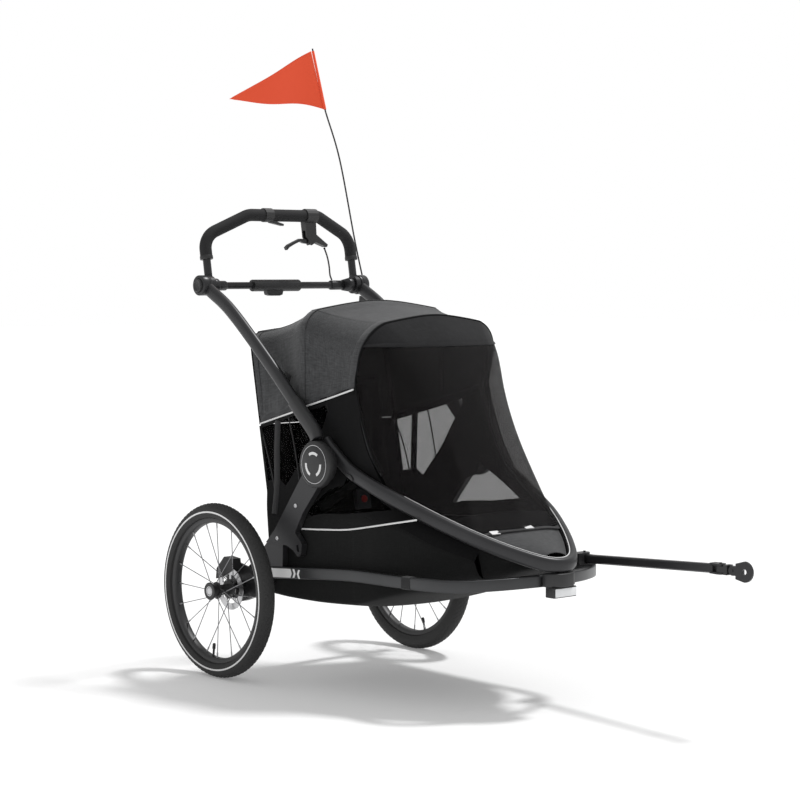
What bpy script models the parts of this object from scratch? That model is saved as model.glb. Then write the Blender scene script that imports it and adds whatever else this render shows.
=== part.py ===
"""Child bicycle trailer with a folding push handle, disc brakes and a side tow arm.

World axes: +X towards the bicycle, +Y to its left side, +Z up, ground at z = 0.  Lengths are in metres.
The design is drawn from the wheel axle's line, where x is 0.  Every piece hangs on an empty for its
body, and the bodies hang on one empty that moves the whole along X, so that the middle of the overall
length stands at the world's origin.
"""

import math

import bmesh
import bpy
from mathutils import Matrix, Vector

# ---------------------------------------------------------------- driving dimensions
GAP = 0.0003  # left between pieces that touch
RUNNING = 0.0006  # left between pieces that turn or slide on each other
SIDES = ((1, "left"), (-1, "right"))

HITCH_REACH = 1.300  # axle to the front of the hitch plate
FLAG_REACH = 0.610  # axle to the flag's tip, rearwards
AXLE_X = (FLAG_REACH - HITCH_REACH) / 2

# Lateral layers of the frame, from the middle outwards
TUBE_WIDTH = 0.022
TUBE_HEIGHT = 0.034
FRONT_TUBE_Y = 0.2245  # forward tubes beside the cabin
PLATE_IN = FRONT_TUBE_Y + TUBE_WIDTH / 2 + GAP  # inner hub discs, legs and axle plates
PLATE_OUT = PLATE_IN + 0.0157
SOCKET_WALL = 0.0018
UPPER_TUBE_Y = PLATE_IN + 0.0003 + SOCKET_WALL + GAP + TUBE_WIDTH / 2
HUB_IN = PLATE_OUT + GAP  # outer, folding hub discs
HUB_OUT = HUB_IN + 0.0185
WHEEL_Y = PLATE_OUT + 0.0685

# Wheels
WHEEL_RADIUS = 0.215
TYRE_HALF = 0.0215
TYRE_WALL = 0.0035
WHEEL_STEPS = 30
SPOKE_RADIUS = 0.0011
SPOKES_PER_FLANGE = 10
BARREL_RADIUS = 0.0145
CAP_RADIUS = 0.0215
CAP_THICKNESS = 0.006
CAP_REACH = 0.027  # wheel's centre plane to the cap's outer face
AXLE_RADIUS = 0.0075
BUTTON_RADIUS = 0.0088
BUTTON_TRAVEL = 0.004
ROTOR_RADIUS = 0.052
ROTOR_THICKNESS = 0.0018

# Lower frame: the forward tube narrows towards the nose through these (x, y, z) places
NARROW_TUBE = (
    (0.485, FRONT_TUBE_Y, 0.497),
    (0.560, 0.205, 0.465),
    (0.654, 0.176, 0.427),
    (0.731, 0.139, 0.394),
    (0.801, 0.094, 0.365),
    (0.856, 0.046, 0.344),
)
LEG_BOTTOM = 0.338
RAIL_START = 0.125
RAIL_HEIGHT = 0.027
RAIL_WIDTH = 0.020
RAIL_Z = 0.2665
RAIL_FRONT_Z = 0.296
RAIL_TOP = RAIL_Z + RAIL_HEIGHT / 2

# Fold hub and handle pivot, in the side plane (x, z)
HUB = (0.314, 0.543)
HUB_INNER_RADIUS = 0.045
HUB_OUTER_RADIUS = 0.056
PIVOT = (-0.145, 0.962)
PIVOT_RADIUS = 0.0255
PIVOT_PIN_RADIUS = 0.005
EYE_RADIUS = 0.0235
EYE_IN = PLATE_IN - 0.0073
EYE_OUT = UPPER_TUBE_Y - 0.0058
DRUM_OUT = EYE_OUT + 0.0263
TILT_BUTTON_RADIUS = 0.0165
TILT_BUTTON_TRAVEL = 0.005

# Handlebar
BAR_RADIUS = 0.010
BAR_Y = FRONT_TUBE_Y + 0.0115
FOAM_RADIUS = 0.0155
BAR_BEND = 0.050
BAR_LOW_BEND = (-0.166, 1.085)
BAR_TOP = (-0.146, 1.141)
BAR_TOP_HALF = 0.112
FOAM_START_Z = 1.030

# Crossbar and fold grip
CROSSBAR = (-0.166, 0.961)
CROSSBAR_RADIUS = 0.009
CROSSBAR_HALF = 0.171  # middle to where the bosses start
GRIP_LOW, GRIP_HIGH = -0.086, 0.064
GRIP_RADIUS = 0.0152
TRIGGER_LOW, TRIGGER_HIGH = -0.044, 0.010
TRIGGER_TRAVEL = 0.007

# Flag pole
POLE_RADIUS = 0.0022

# Cabin: a roof's shape is its (half width, top, corner radius, crown)
CABIN_HALF = 0.228
SKIN = 0.002
BOW_RADIUS = 0.006
BOW_SET_BACK = 0.012
SEAT_HALF = 0.150
REAR_ROOF = (0.215, 0.870, 0.045, 0.012)
MAIN_ROOF = (CABIN_HALF, 0.925, 0.060, 0.018)
FRONT_ROOF = (0.214, 0.894, 0.090, 0.014)
SCREEN_SWELL = 0.026  # how far the screen stands out below the front bow
SCREEN_WAIST = 0.30  # share by which the stretched screen's sides pull in halfway down
SEAM_REAR, SEAM_MAIN, SEAM_FRONT = 0.622, 0.672, 0.722  # height of the roof's lower edge
MAIN_BOW_X = 0.220
WALL_HALF = FRONT_TUBE_Y - TUBE_WIDTH / 2 - SKIN / 2 - 0.001

# Tow arm
ARM_SIZE = 0.020
ARM_PLATE = 0.0045  # thickness of the bracket's plates
ARM_PIN = (0.745, 0.200, RAIL_FRONT_Z + RAIL_HEIGHT / 2 + 0.0002 + ARM_PLATE + ARM_SIZE / 2)
YAW = (1.200, 0.157, 0.3495)
PITCH_X = 1.240
BIKE_AXLE = (1.277, 0.351)

# Brake lever
LEVER_Y = 0.087
LEVER_PIVOT_Z = 1.073
CABLE_EXIT = (BAR_TOP[0] - 0.006, 0.140, 1.0605)

BLACK_METAL = ((0.028, 0.028, 0.030), 0.35, 0.6)
BLACK_PLASTIC = ((0.020, 0.020, 0.021), 0.45, 0.0)
STEEL = ((0.60, 0.60, 0.61), 0.30, 1.0)
RUBBER = ((0.030, 0.030, 0.030), 0.80, 0.0)
FOAM = ((0.025, 0.025, 0.027), 0.90, 0.0)
DARK_FABRIC = ((0.012, 0.012, 0.013), 0.90, 0.0)
GREY_FABRIC = ((0.075, 0.078, 0.082), 0.90, 0.0)
RED_PLASTIC = ((0.60, 0.05, 0.03), 0.40, 0.0)
ORANGE_FABRIC = ((0.90, 0.10, 0.04), 0.70, 0.0)
REFLECTOR = ((0.90, 0.90, 0.90), 0.20, 0.0)

BODY_OF = {}  # each finished piece's name and the empty of its body


# ---------------------------------------------------------------- making meshes
def new_piece(name, bm, finish, body):
    """Turn a bmesh into a closed object with its own material, hung on its body's empty."""
    bmesh.ops.remove_doubles(bm, verts=bm.verts, dist=1e-6)
    bmesh.ops.recalc_face_normals(bm, faces=bm.faces)
    mesh = bpy.data.meshes.new(name)
    bm.to_mesh(mesh)
    bm.free()
    mesh.shade_smooth()
    mesh.set_sharp_from_angle(angle=math.radians(35))
    piece = bpy.data.objects.new(name, mesh)
    bpy.context.scene.collection.objects.link(piece)
    colour, roughness, metallic = finish
    material = bpy.data.materials.new(name)
    material.use_nodes = True
    shader = material.node_tree.nodes["Principled BSDF"]
    shader.inputs["Base Color"].default_value = (*colour, 1.0)
    shader.inputs["Roughness"].default_value = roughness
    shader.inputs["Metallic"].default_value = metallic
    mesh.materials.append(material)
    if body is not None:
        BODY_OF[name] = body
    return piece


def hang_all():
    """Hang every finished piece on its body's empty, once nothing is left to join or cut."""
    for name, body in BODY_OF.items():
        piece = bpy.data.objects[name]
        piece.parent = body
        piece.location = -Vector(body["axis_point"])


def bake(piece):
    """Replace a piece's mesh by what its modifiers make of it."""
    evaluated = piece.evaluated_get(bpy.context.evaluated_depsgraph_get())
    mesh = bpy.data.meshes.new_from_object(evaluated)
    bm = bmesh.new()
    bm.from_mesh(mesh)
    bmesh.ops.remove_doubles(bm, verts=bm.verts, dist=2e-6)
    bmesh.ops.dissolve_degenerate(bm, edges=bm.edges, dist=2e-6)
    bm.to_mesh(mesh)
    bm.free()
    piece.modifiers.clear()
    piece.data = mesh


def combine(piece, tools, operation):
    """Join or cut a piece with other closed pieces, which are used up."""
    for tool in tools:
        modifier = piece.modifiers.new(tool.name, "BOOLEAN")
        modifier.operation = operation
        modifier.solver = "EXACT"
        modifier.object = tool
    bake(piece)
    for tool in tools:
        bpy.data.objects.remove(tool, do_unlink=True)
    return piece


def arc(centre, radius, start, end, steps):
    """Points of an arc in a plane, angles in degrees, ends included."""
    angles = [math.radians(start + (end - start) * i / steps) for i in range(steps + 1)]
    return [(centre[0] + radius * math.cos(a), centre[1] + radius * math.sin(a)) for a in angles]


def prism(name, outline, low, high, finish, body, axis="Y"):
    """Extrude a flat outline: (x, z) along Y, (y, z) along X or (x, y) along Z."""
    place = {
        "X": lambda u, v, w: (w, u, v),
        "Y": lambda u, v, w: (u, w, v),
        "Z": lambda u, v, w: (u, v, w),
    }[axis]
    bm = bmesh.new()
    face = bm.faces.new([bm.verts.new(place(u, v, low)) for u, v in outline])
    grown = bmesh.ops.extrude_face_region(bm, geom=[face], use_keep_orig=True)
    top = [item for item in grown["geom"] if isinstance(item, bmesh.types.BMVert)]
    bmesh.ops.translate(bm, verts=top, vec=Vector(place(0, 0, high)) - Vector(place(0, 0, low)))
    return new_piece(name, bm, finish, body)


def box(name, low, high, finish, body):
    """A rectangular block between two corners."""
    outline = [(low[0], low[2]), (high[0], low[2]), (high[0], high[2]), (low[0], high[2])]
    return prism(name, outline, low[1], high[1], finish, body)


def rod(name, start, end, radius, finish, body, steps=16, end_radius=None):
    """A round bar or cone between two points."""
    start, end = Vector(start), Vector(end)
    bm = bmesh.new()
    turn = Vector((0, 0, 1)).rotation_difference(end - start).to_matrix().to_4x4()
    bmesh.ops.create_cone(
        bm,
        cap_ends=True,
        segments=steps,
        radius1=radius,
        radius2=radius if end_radius is None else end_radius,
        depth=(end - start).length,
        matrix=Matrix.Translation((start + end) / 2) @ turn,
    )
    return new_piece(name, bm, finish, body)


def y_rod(name, x, z, low, high, radius, finish, body, steps=16):
    """A round bar across the trailer."""
    return rod(name, (x, low, z), (x, high, z), radius, finish, body, steps)


def turned(name, profile, centre, finish, body, steps=WHEEL_STEPS):
    """Spin a closed (radius, y) profile about the Y axis through centre (x, z)."""
    bm = bmesh.new()
    ring = [bm.verts.new((radius, y, 0)) for radius, y in profile]
    edges = [bm.edges.new((ring[i], ring[(i + 1) % len(ring)])) for i in range(len(ring))]
    bmesh.ops.spin(
        bm, geom=edges, cent=(0, 0, 0), axis=(0, 1, 0), angle=2 * math.pi, steps=steps, use_merge=True
    )
    bmesh.ops.translate(bm, verts=bm.verts, vec=(centre[0], 0, centre[1]))
    return new_piece(name, bm, finish, body)


def stadium(width, height, steps=3):
    """A flat oval section, width across and height up, as points for a sweep."""
    radius = width / 2
    straight = height / 2 - radius
    return arc((0, straight), radius, 0, 180, steps) + arc((0, -straight), radius, 180, 360, steps)


def circle(radius, steps=10):
    """A round section as points for a sweep."""
    return arc((0, 0), radius, 0, 360 - 360 / steps, steps - 1)


def rounded_path(corners, radius, steps=3):
    """A path of straight runs whose inner corners are rounded with arcs."""
    corners = [Vector(corner) for corner in corners]
    path = [corners[0]]
    for before, corner, after in zip(corners, corners[1:], corners[2:]):
        back, onward = (before - corner).normalized(), (after - corner).normalized()
        half = back.angle(onward) / 2
        middle = corner + (back + onward).normalized() * radius / math.sin(half)
        reach = radius / math.tan(half)
        first = (corner + back * reach - middle).normalized()
        last = (corner + onward * reach - middle).normalized()
        path += [middle + first.slerp(last, i / steps) * radius for i in range(steps + 1)]
    path.append(corners[-1])
    return path


def smooth_path(points, steps=3):
    """A smooth curve through points, with a few steps in each interval."""
    points = [Vector(point) for point in points]
    ends = [2 * points[0] - points[1]] + points + [2 * points[-1] - points[-2]]
    path = []
    for before, start, end, after in zip(ends, ends[1:], ends[2:], ends[3:]):
        for i in range(steps):
            t = i / steps
            path.append(
                start
                + (end - before) * t / 2
                + (2 * before - 5 * start + 4 * end - after) * t * t / 2
                + (3 * start - before - 3 * end + after) * t * t * t / 2
            )
    path.append(points[-1])
    return path


def frames_along(path, up):
    """Side and up directions at each point of a path, kept square to the path."""
    frames = []
    for i, point in enumerate(path):
        ahead = (path[min(i + 1, len(path) - 1)] - path[max(i - 1, 0)]).normalized()
        side = ahead.cross(up).normalized()
        frames.append((point, side, side.cross(ahead)))
    return frames


def sweep(name, path, section, finish, body, up=(0, 0, 1), hollow=None):
    """Carry a closed section along a path; hollow is an inner section of as many points."""
    bm = bmesh.new()
    loops = []
    for outline in [section] if hollow is None else [section, hollow]:
        loops.append(
            [
                [bm.verts.new(point + side * u + rise * v) for u, v in outline]
                for point, side, rise in frames_along(path, Vector(up))
            ]
        )
    count = len(section)
    for rings in loops:
        for first, second in zip(rings, rings[1:]):
            for i in range(count):
                j = (i + 1) % count
                bm.faces.new((first[i], first[j], second[j], second[i]))
    for end in (0, -1):
        if hollow is None:
            bm.faces.new(loops[0][end])
            continue
        outer, inner = loops[0][end], loops[1][end]
        for i in range(count):
            j = (i + 1) % count
            bm.faces.new((outer[i], outer[j], inner[j], inner[i]))
    return new_piece(name, bm, finish, body)


def skin(name, rows, thickness, finish, body):
    """A closed sheet of even thickness, centred on a grid of points."""
    bm = bmesh.new()
    grid = [[bm.verts.new(point) for point in row] for row in rows]
    for low, high in zip(grid, grid[1:]):
        for i in range(len(low) - 1):
            bm.faces.new((low[i], low[i + 1], high[i + 1], high[i]))
    bmesh.ops.remove_doubles(bm, verts=bm.verts, dist=1e-6)
    bmesh.ops.recalc_face_normals(bm, faces=bm.faces)
    piece = new_piece(name, bm, finish, body)
    solidify = piece.modifiers.new("thickness", "SOLIDIFY")
    solidify.thickness = thickness
    solidify.offset = 0
    solidify.use_even_offset = True
    bake(piece)
    return piece


def mirrored(path):
    """A path on the left side followed by its mirror image on the right side."""
    path = [Vector(point) for point in path]
    other = [Vector((p.x, -p.y, p.z)) for p in reversed(path)]
    return path + (other[1:] if path[-1].y == 0 else other)


# ---------------------------------------------------------------- bodies
def new_body(name, parent=None, axis_point=(0, 0, 0)):
    """An empty on a body's joint axis; axis_point is measured from the wheel axle's line."""
    body = bpy.data.objects.new(name, None)
    bpy.context.scene.collection.objects.link(body)
    body["axis_point"] = axis_point
    body.location = (AXLE_X, 0, 0)
    if parent is not None:
        body.parent = parent
        body.location = Vector(axis_point) - Vector(parent["axis_point"])
    return body


# ---------------------------------------------------------------- wheels
def wheel(side, label, wheel_body, chassis, button_body):
    """Tyre, inner tube, rim, laced hub, brake disc, stub axle and its release button."""
    centre = (0, WHEEL_RADIUS)
    y = side * WHEEL_Y
    middle = WHEEL_RADIUS - TYRE_HALF
    bead = middle - 0.019

    outer = arc((middle, 0), TYRE_HALF, -130, 130, 8)
    inner = arc((middle, 0), TYRE_HALF - TYRE_WALL, 124, -124, 6)
    carcass = [(bead, -0.0105), (bead + 0.0045, -0.0105)] + outer
    carcass += [(bead + 0.0045, 0.0105), (bead, 0.0105), (bead, 0.0078), (bead + 0.0060, 0.0078)]
    carcass += inner + [(bead + 0.0060, -0.0078), (bead, -0.0078)]
    turned(f"tyre_{label}", [(r, y + u) for r, u in carcass], centre, RUBBER, wheel_body)

    air = arc((middle, 0), TYRE_HALF - TYRE_WALL - 2 * GAP, 124, -124, 6)
    tube = turned(f"inner_tube_{label}", [(r, y + u) for r, u in air], centre, RUBBER, wheel_body)
    valve_angle = math.radians(263)
    toward = Vector((math.cos(valve_angle), 0, math.sin(valve_angle)))
    hub_centre = Vector((0, y, WHEEL_RADIUS))
    stem_ends = [hub_centre + toward * r for r in (bead + 0.012, bead - 0.034)]
    combine(tube, [rod("stem", *stem_ends, 0.0028, RUBBER, None, 8)], "UNION")

    seat, edge, lip = bead - GAP, bead + 0.0040, 0.0105 + GAP
    channel = [(edge, -0.0125), (seat - 0.0052, -0.0118), (seat - 0.0080, -0.0060)]
    channel += [(seat - 0.0080, 0.0060), (seat - 0.0052, 0.0118), (edge, 0.0125)]
    channel += [(edge, lip), (seat, lip), (seat, -lip), (edge, -lip)]
    rim = turned(f"rim_{label}", [(r, y + u) for r, u in channel], centre, BLACK_METAL, wheel_body)
    hole_ends = [hub_centre + toward * r for r in (bead + 0.010, bead - 0.020)]
    combine(rim, [rod("valve_hole", *hole_ends, 0.0036, BLACK_METAL, None, 8)], "DIFFERENCE")

    boss_end = PLATE_OUT + 0.0165
    rotor_in = boss_end + 0.0130
    flange_in = rotor_in + ROTOR_THICKNESS + GAP
    cap_in, cap_out = WHEEL_Y + CAP_REACH - CAP_THICKNESS, WHEEL_Y + CAP_REACH
    bore, recess = AXLE_RADIUS + RUNNING, BUTTON_RADIUS + RUNNING
    barrel = [
        (bore, boss_end + RUNNING),
        (BARREL_RADIUS, boss_end + RUNNING),
        (BARREL_RADIUS, flange_in),
        (0.024, flange_in),
        (0.024, flange_in + 0.0034),
        (BARREL_RADIUS, flange_in + 0.0034),
        (BARREL_RADIUS, WHEEL_Y + 0.002),
        (0.021, WHEEL_Y + 0.002),
        (0.021, WHEEL_Y + 0.0054),
        (BARREL_RADIUS, WHEEL_Y + 0.0054),
        (BARREL_RADIUS, cap_in),
        (CAP_RADIUS, cap_in),
        (CAP_RADIUS, cap_out - 0.001),
        (CAP_RADIUS - 0.001, cap_out),
        (recess, cap_out),
        (recess, WHEEL_Y + 0.016),
        (bore, WHEEL_Y + 0.016),
    ]
    hub = turned(f"hub_{label}", [(r, side * u) for r, u in barrel], centre, BLACK_METAL, wheel_body, 16)
    spokes = []
    for flange, (flange_y, rim_y, radius) in enumerate(
        ((flange_in + 0.0017, WHEEL_Y - 0.003, 0.0215), (WHEEL_Y + 0.0037, WHEEL_Y + 0.003, 0.0185))
    ):
        for i in range(SPOKES_PER_FLANGE):
            face = 0.0013 if i % 2 else -0.0013
            at_rim = 2 * math.pi * (i + flange / 2) / SPOKES_PER_FLANGE
            at_hub = at_rim + math.radians(38 if i % 2 else -38)
            inner_end = (radius * math.cos(at_hub), side * (flange_y + face), radius * math.sin(at_hub))
            reach = seat - 0.0096
            outer_end = (reach * math.cos(at_rim), side * rim_y, reach * math.sin(at_rim))
            shift = Vector((0, 0, WHEEL_RADIUS))
            ends = (Vector(inner_end) + shift, Vector(outer_end) + shift)
            spokes.append(rod("spoke", *ends, SPOKE_RADIUS, STEEL, None, 5))
    combine(hub, spokes, "UNION")

    disc_low, disc_high = side * rotor_in, side * (rotor_in + ROTOR_THICKNESS)
    ring = [(0.036, disc_low), (ROTOR_RADIUS, disc_low), (ROTOR_RADIUS, disc_high), (0.036, disc_high)]
    rotor = turned(f"brake_disc_{label}", ring, centre, STEEL, wheel_body, 24)
    middle_ring = [(BARREL_RADIUS + GAP, disc_low), (0.021, disc_low), (0.021, disc_high)]
    middle_ring.append((BARREL_RADIUS + GAP, disc_high))
    arms = [turned("disc_middle", middle_ring, centre, STEEL, None, 24)]
    for i in range(5):
        angle = math.radians(72 * i + 18)
        across = Vector((-math.sin(angle), 0, math.cos(angle))) * 0.004
        along = Vector((math.cos(angle), 0, math.sin(angle)))
        corners = [along * 0.0180 - across, along * 0.0400 - across, along * 0.0400 + across]
        corners.append(along * 0.0180 + across)
        outline = [(corner.x, corner.z + WHEEL_RADIUS) for corner in corners]
        arms.append(prism("disc_arm", outline, disc_low, disc_high, STEEL, None))
    combine(rotor, arms, "UNION")

    axle_in = PLATE_IN - 0.046
    y_rod(f"wheel_axle_{label}", 0, WHEEL_RADIUS, side * axle_in, side * (WHEEL_Y + 0.0155),
          AXLE_RADIUS, STEEL, chassis, 24)
    button_in = WHEEL_Y + 0.0155 + BUTTON_TRAVEL + RUNNING
    button = [(0.0, button_in), (BUTTON_RADIUS, button_in), (BUTTON_RADIUS, cap_out - 0.0006)]
    button += [(BUTTON_RADIUS - 0.0006, cap_out), (0.0, cap_out)]
    turned(f"axle_button_{label}", [(r, side * u) for r, u in button], centre, STEEL, button_body, 24)
    return boss_end, rotor_in


def brakes(side, label, chassis, arm_body, rotor_in):
    """Calliper over the disc, and the arm that the cable pulls."""
    z = WHEEL_RADIUS
    arm_in, arm_out = PLATE_OUT + 0.0006, PLATE_OUT + 0.0056
    body_in, body_out = PLATE_OUT + 0.0066, rotor_in + 0.0045
    outline = [(-0.056, z + 0.020), (-0.053, z + 0.046), (-0.022, z + 0.078), (0.010, z + 0.075)]
    outline += [(0.014, z + 0.050), (-0.008, z + 0.037), (-0.030, z + 0.027)]
    calliper = prism(f"brake_calliper_{label}", outline, side * body_in, side * body_out,
                     BLACK_METAL, chassis)
    slot = y_rod("slot", 0, z, side * (rotor_in - 0.0012), side * (rotor_in + 0.0030),
                 ROTOR_RADIUS + 0.003, BLACK_METAL, None, 32)
    combine(calliper, [slot], "DIFFERENCE")
    lug = y_rod("lug", -0.0475, z + 0.030, side * (PLATE_OUT + GAP), side * (body_in + 0.001),
                0.006, BLACK_METAL, None, 12)
    combine(calliper, [lug], "UNION")

    pivot = (-0.008, z + 0.057)
    plate = arc(pivot, 0.0085, 90, 270, 6) + [(0.044, z + 0.040)]
    plate += arc((0.050, z + 0.047), 0.0075, -90, 90, 5)
    arm = prism(f"brake_arm_{label}", plate, side * arm_in, side * arm_out, STEEL, arm_body)
    boss = y_rod("boss", *pivot, side * (arm_out - 0.001), side * (body_in - GAP), 0.006,
                 STEEL, None, 12)
    combine(arm, [boss], "UNION")


# ---------------------------------------------------------------- chassis frame
def axle_beam(chassis, boss_end):
    """Tube between the wheels, with a plate at each end that carries leg, rail and brake."""
    z = WHEEL_RADIUS
    top = LEG_BOTTOM - GAP
    plate = [(RAIL_START - 0.0016, 0.240), (RAIL_START - 0.0016, RAIL_TOP + 2 * GAP)]
    plate += [(0.170, RAIL_TOP + 2 * GAP + 0.0040), (0.172, top), (0.108, top), (0.070, 0.300)]
    plate += [(0.020, z + 0.046), (-0.052, z + 0.046), (-0.060, z + 0.020)]
    plate += arc((0, z), 0.034, 190, 290, 5) + [(0.060, z - 0.016)]
    beam = y_rod("axle_beam", 0, z, -PLATE_IN - 0.002, PLATE_IN + 0.002, 0.016, BLACK_METAL, chassis)
    joined = []
    drilled = []
    for side, _ in SIDES:
        joined.append(prism("end_plate", plate, side * PLATE_IN, side * PLATE_OUT, BLACK_METAL, None))
        joined.append(y_rod("boss", 0, z, side * (PLATE_OUT - 0.002), side * boss_end, 0.018,
                            BLACK_METAL, None, 24))
        drilled.append(y_rod("bore", 0, z, side * (PLATE_IN - 0.048), side * (boss_end + 0.01),
                             AXLE_RADIUS + GAP, BLACK_METAL, None, 24))
    combine(beam, joined, "UNION")
    combine(beam, drilled, "DIFFERENCE")


def legs(side, label, chassis):
    """Leg from the fold hub down to the axle plate, with a slotted hook in front."""
    outline = [(0.268, 0.540), (0.178, 0.423), (0.138, 0.371), (0.104, LEG_BOTTOM)]
    outline += [(0.186, LEG_BOTTOM), (0.212, 0.328)] + arc((0.232, 0.326), 0.011, 215, 360, 5)
    outline += [(0.246, 0.346), (0.219, 0.372), (0.248, 0.420), (0.322, 0.505), (0.314, 0.543)]
    leg = prism(f"leg_{label}", outline, side * PLATE_IN, side * PLATE_OUT, BLACK_METAL, chassis)
    cut = [y_rod("hub_room", *HUB, side * (PLATE_IN - 0.01), side * (PLATE_OUT + 0.01),
                 HUB_INNER_RADIUS + GAP, BLACK_METAL, None, 32)]
    slot = arc((0.228, 0.340), 0.0035, 0, 180, 4) + arc((0.231, 0.329), 0.0035, 180, 360, 4)
    cut.append(prism("slot", slot, side * (PLATE_IN - 0.01), side * (PLATE_OUT + 0.01),
                     BLACK_METAL, None))
    combine(leg, cut, "DIFFERENCE")


def hubs(side, label, chassis, upper_frame):
    """Inner hub disc with its pin, and the outer folding disc with the upper tube's socket."""
    inner = y_rod(f"fold_hub_inner_{label}", *HUB, side * PLATE_IN, side * PLATE_OUT,
                  HUB_INNER_RADIUS, BLACK_PLASTIC, chassis, 32)
    pin = y_rod("pin", *HUB, side * (PLATE_OUT - 0.001), side * (HUB_IN + 0.0095), 0.008,
                BLACK_PLASTIC, None, 16)
    combine(inner, [pin], "UNION")

    outer = y_rod(f"fold_hub_outer_{label}", *HUB, side * HUB_IN, side * HUB_OUT,
                  HUB_OUTER_RADIUS, BLACK_PLASTIC, upper_frame, 40)
    path = upper_tube_path(side)
    socket_path = [path[-1] + (path[-3] - path[-1]).normalized() * 0.060, path[-1]]
    ahead = (path[-1] - path[-3]).normalized()
    socket_path[-1] = path[-1] + ahead * 0.010
    wall = GAP + SOCKET_WALL
    section = stadium(TUBE_WIDTH + 2 * wall, TUBE_HEIGHT + 2 * wall)
    socket = sweep("socket", socket_path, section, BLACK_PLASTIC, None)
    near, far = socket_path
    across = Vector((ahead.z, 0, -ahead.x)) * (TUBE_HEIGHT / 2)
    web = [near + across, near - across, Vector((HUB[0] + 0.05, 0, HUB[1] + 0.025))]
    web += [Vector((HUB[0], 0, HUB[1])), Vector((HUB[0] - 0.05, 0, HUB[1] + 0.025))]
    outline = [(point.x, point.z) for point in web]
    top = UPPER_TUBE_Y + TUBE_WIDTH / 2 + wall
    webbing = prism("web", outline, side * (HUB_IN + GAP), side * (top - 2 * GAP), BLACK_PLASTIC, None)
    combine(outer, [socket, webbing], "UNION")
    pocket_path = [near - ahead * 0.02, path[-1] + ahead * GAP]
    pocket_section = stadium(TUBE_WIDTH + 2 * GAP, TUBE_HEIGHT + 2 * GAP)
    pocket = sweep("pocket", pocket_path, pocket_section, BLACK_PLASTIC, None)
    bore = y_rod("bore", *HUB, side * (HUB_IN - 0.01), side * (HUB_IN + 0.010), 0.008 + RUNNING,
                 BLACK_PLASTIC, None, 16)
    combine(outer, [pocket, bore], "DIFFERENCE")


def front_frame(chassis):
    """One tube that runs from hub to hub around the nose."""
    left = [(x, FRONT_TUBE_Y, z) for x, z in ((0.304, 0.5945), (0.334, 0.571), (0.397, 0.530))]
    path = smooth_path(mirrored(left + list(NARROW_TUBE) + [(0.874, 0.0, 0.338)]), 2)
    sweep("front_frame", path, stadium(TUBE_WIDTH, TUBE_HEIGHT), BLACK_METAL, chassis)


def lower_rail(chassis):
    """Flat side rails from the axle plates, joined in front under the nose."""
    rail_y = PLATE_IN + 0.0142
    left = [(RAIL_START, rail_y, RAIL_Z), (0.236, rail_y, 0.2755), (0.423, rail_y, 0.290)]
    left += [(0.600, rail_y, 0.294), (0.690, rail_y - 0.003, RAIL_FRONT_Z), (0.755, rail_y - 0.035, RAIL_FRONT_Z)]
    left += [(0.805, 0.140, 0.299), (0.836, 0.060, 0.302), (0.840, 0.0, 0.302)]
    path = smooth_path(mirrored(left), 2)
    sweep("lower_rail", path, stadium(RAIL_WIDTH, RAIL_HEIGHT), BLACK_METAL, chassis)


def nose_cap(chassis):
    """Moulded cap that ties the front tube to the rail and holds the reflector."""
    outline = [(0.8505, -0.045), (0.872, -0.040), (0.888, -0.018), (0.888, 0.018)]
    outline += [(0.872, 0.040), (0.8505, 0.045)]
    low, high = 0.290, 0.338 - TUBE_HEIGHT / 2 - GAP
    prism("nose_cap", outline, low, high, BLACK_PLASTIC, chassis, "Z")
    housing = [(-0.036, 0.2895 - 0.024), (0.036, 0.2895 - 0.024), (0.036, 0.2895), (-0.036, 0.2895)]
    prism("front_reflector", housing, 0.853, 0.884, REFLECTOR, chassis, "X")


# ---------------------------------------------------------------- upper frame
def upper_tube_path(side):
    """Centre line of an upper tube, from the handle pivot to the fold hub."""
    points = [(-0.126, 0.951), (-0.036, 0.899), (0.102, 0.788), (0.197, 0.704), (0.289, 0.621)]
    return smooth_path([(x, side * UPPER_TUBE_Y, z) for x, z in points], 2)


def upper_tubes(side, label, upper_frame):
    """Upper tube with the handle's pivot drum at its top end."""
    tube = sweep(f"upper_tube_{label}", upper_tube_path(side), stadium(TUBE_WIDTH, TUBE_HEIGHT),
                 BLACK_METAL, upper_frame)
    drum = y_rod("drum", *PIVOT, side * (EYE_OUT + GAP), side * DRUM_OUT, PIVOT_RADIUS,
                 BLACK_METAL, None, 32)
    combine(tube, [drum], "UNION")
    room = y_rod("eye_room", *PIVOT, side * (EYE_IN - 0.02), side * (EYE_OUT + GAP),
                 EYE_RADIUS + RUNNING, BLACK_METAL, None, 32)
    depth = TILT_BUTTON_TRAVEL + 0.006
    pocket = y_rod("button_pocket", *PIVOT, side * (DRUM_OUT - depth), side * (DRUM_OUT + 0.01),
                   TILT_BUTTON_RADIUS + RUNNING, BLACK_METAL, None, 32)
    combine(tube, [room, pocket], "DIFFERENCE")


def tilt_button(side, label, body):
    """Round button in the pivot drum that frees the handlebar's tilt."""
    inner, outer = DRUM_OUT - 0.005, DRUM_OUT + 0.0055
    profile = [(0.0, inner), (TILT_BUTTON_RADIUS, inner), (TILT_BUTTON_RADIUS, outer - 0.002)]
    profile += [(TILT_BUTTON_RADIUS - 0.002, outer), (0.0, outer)]
    turned(f"tilt_button_{label}", [(r, side * u) for r, u in profile], PIVOT, BLACK_PLASTIC, body, 24)


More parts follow.
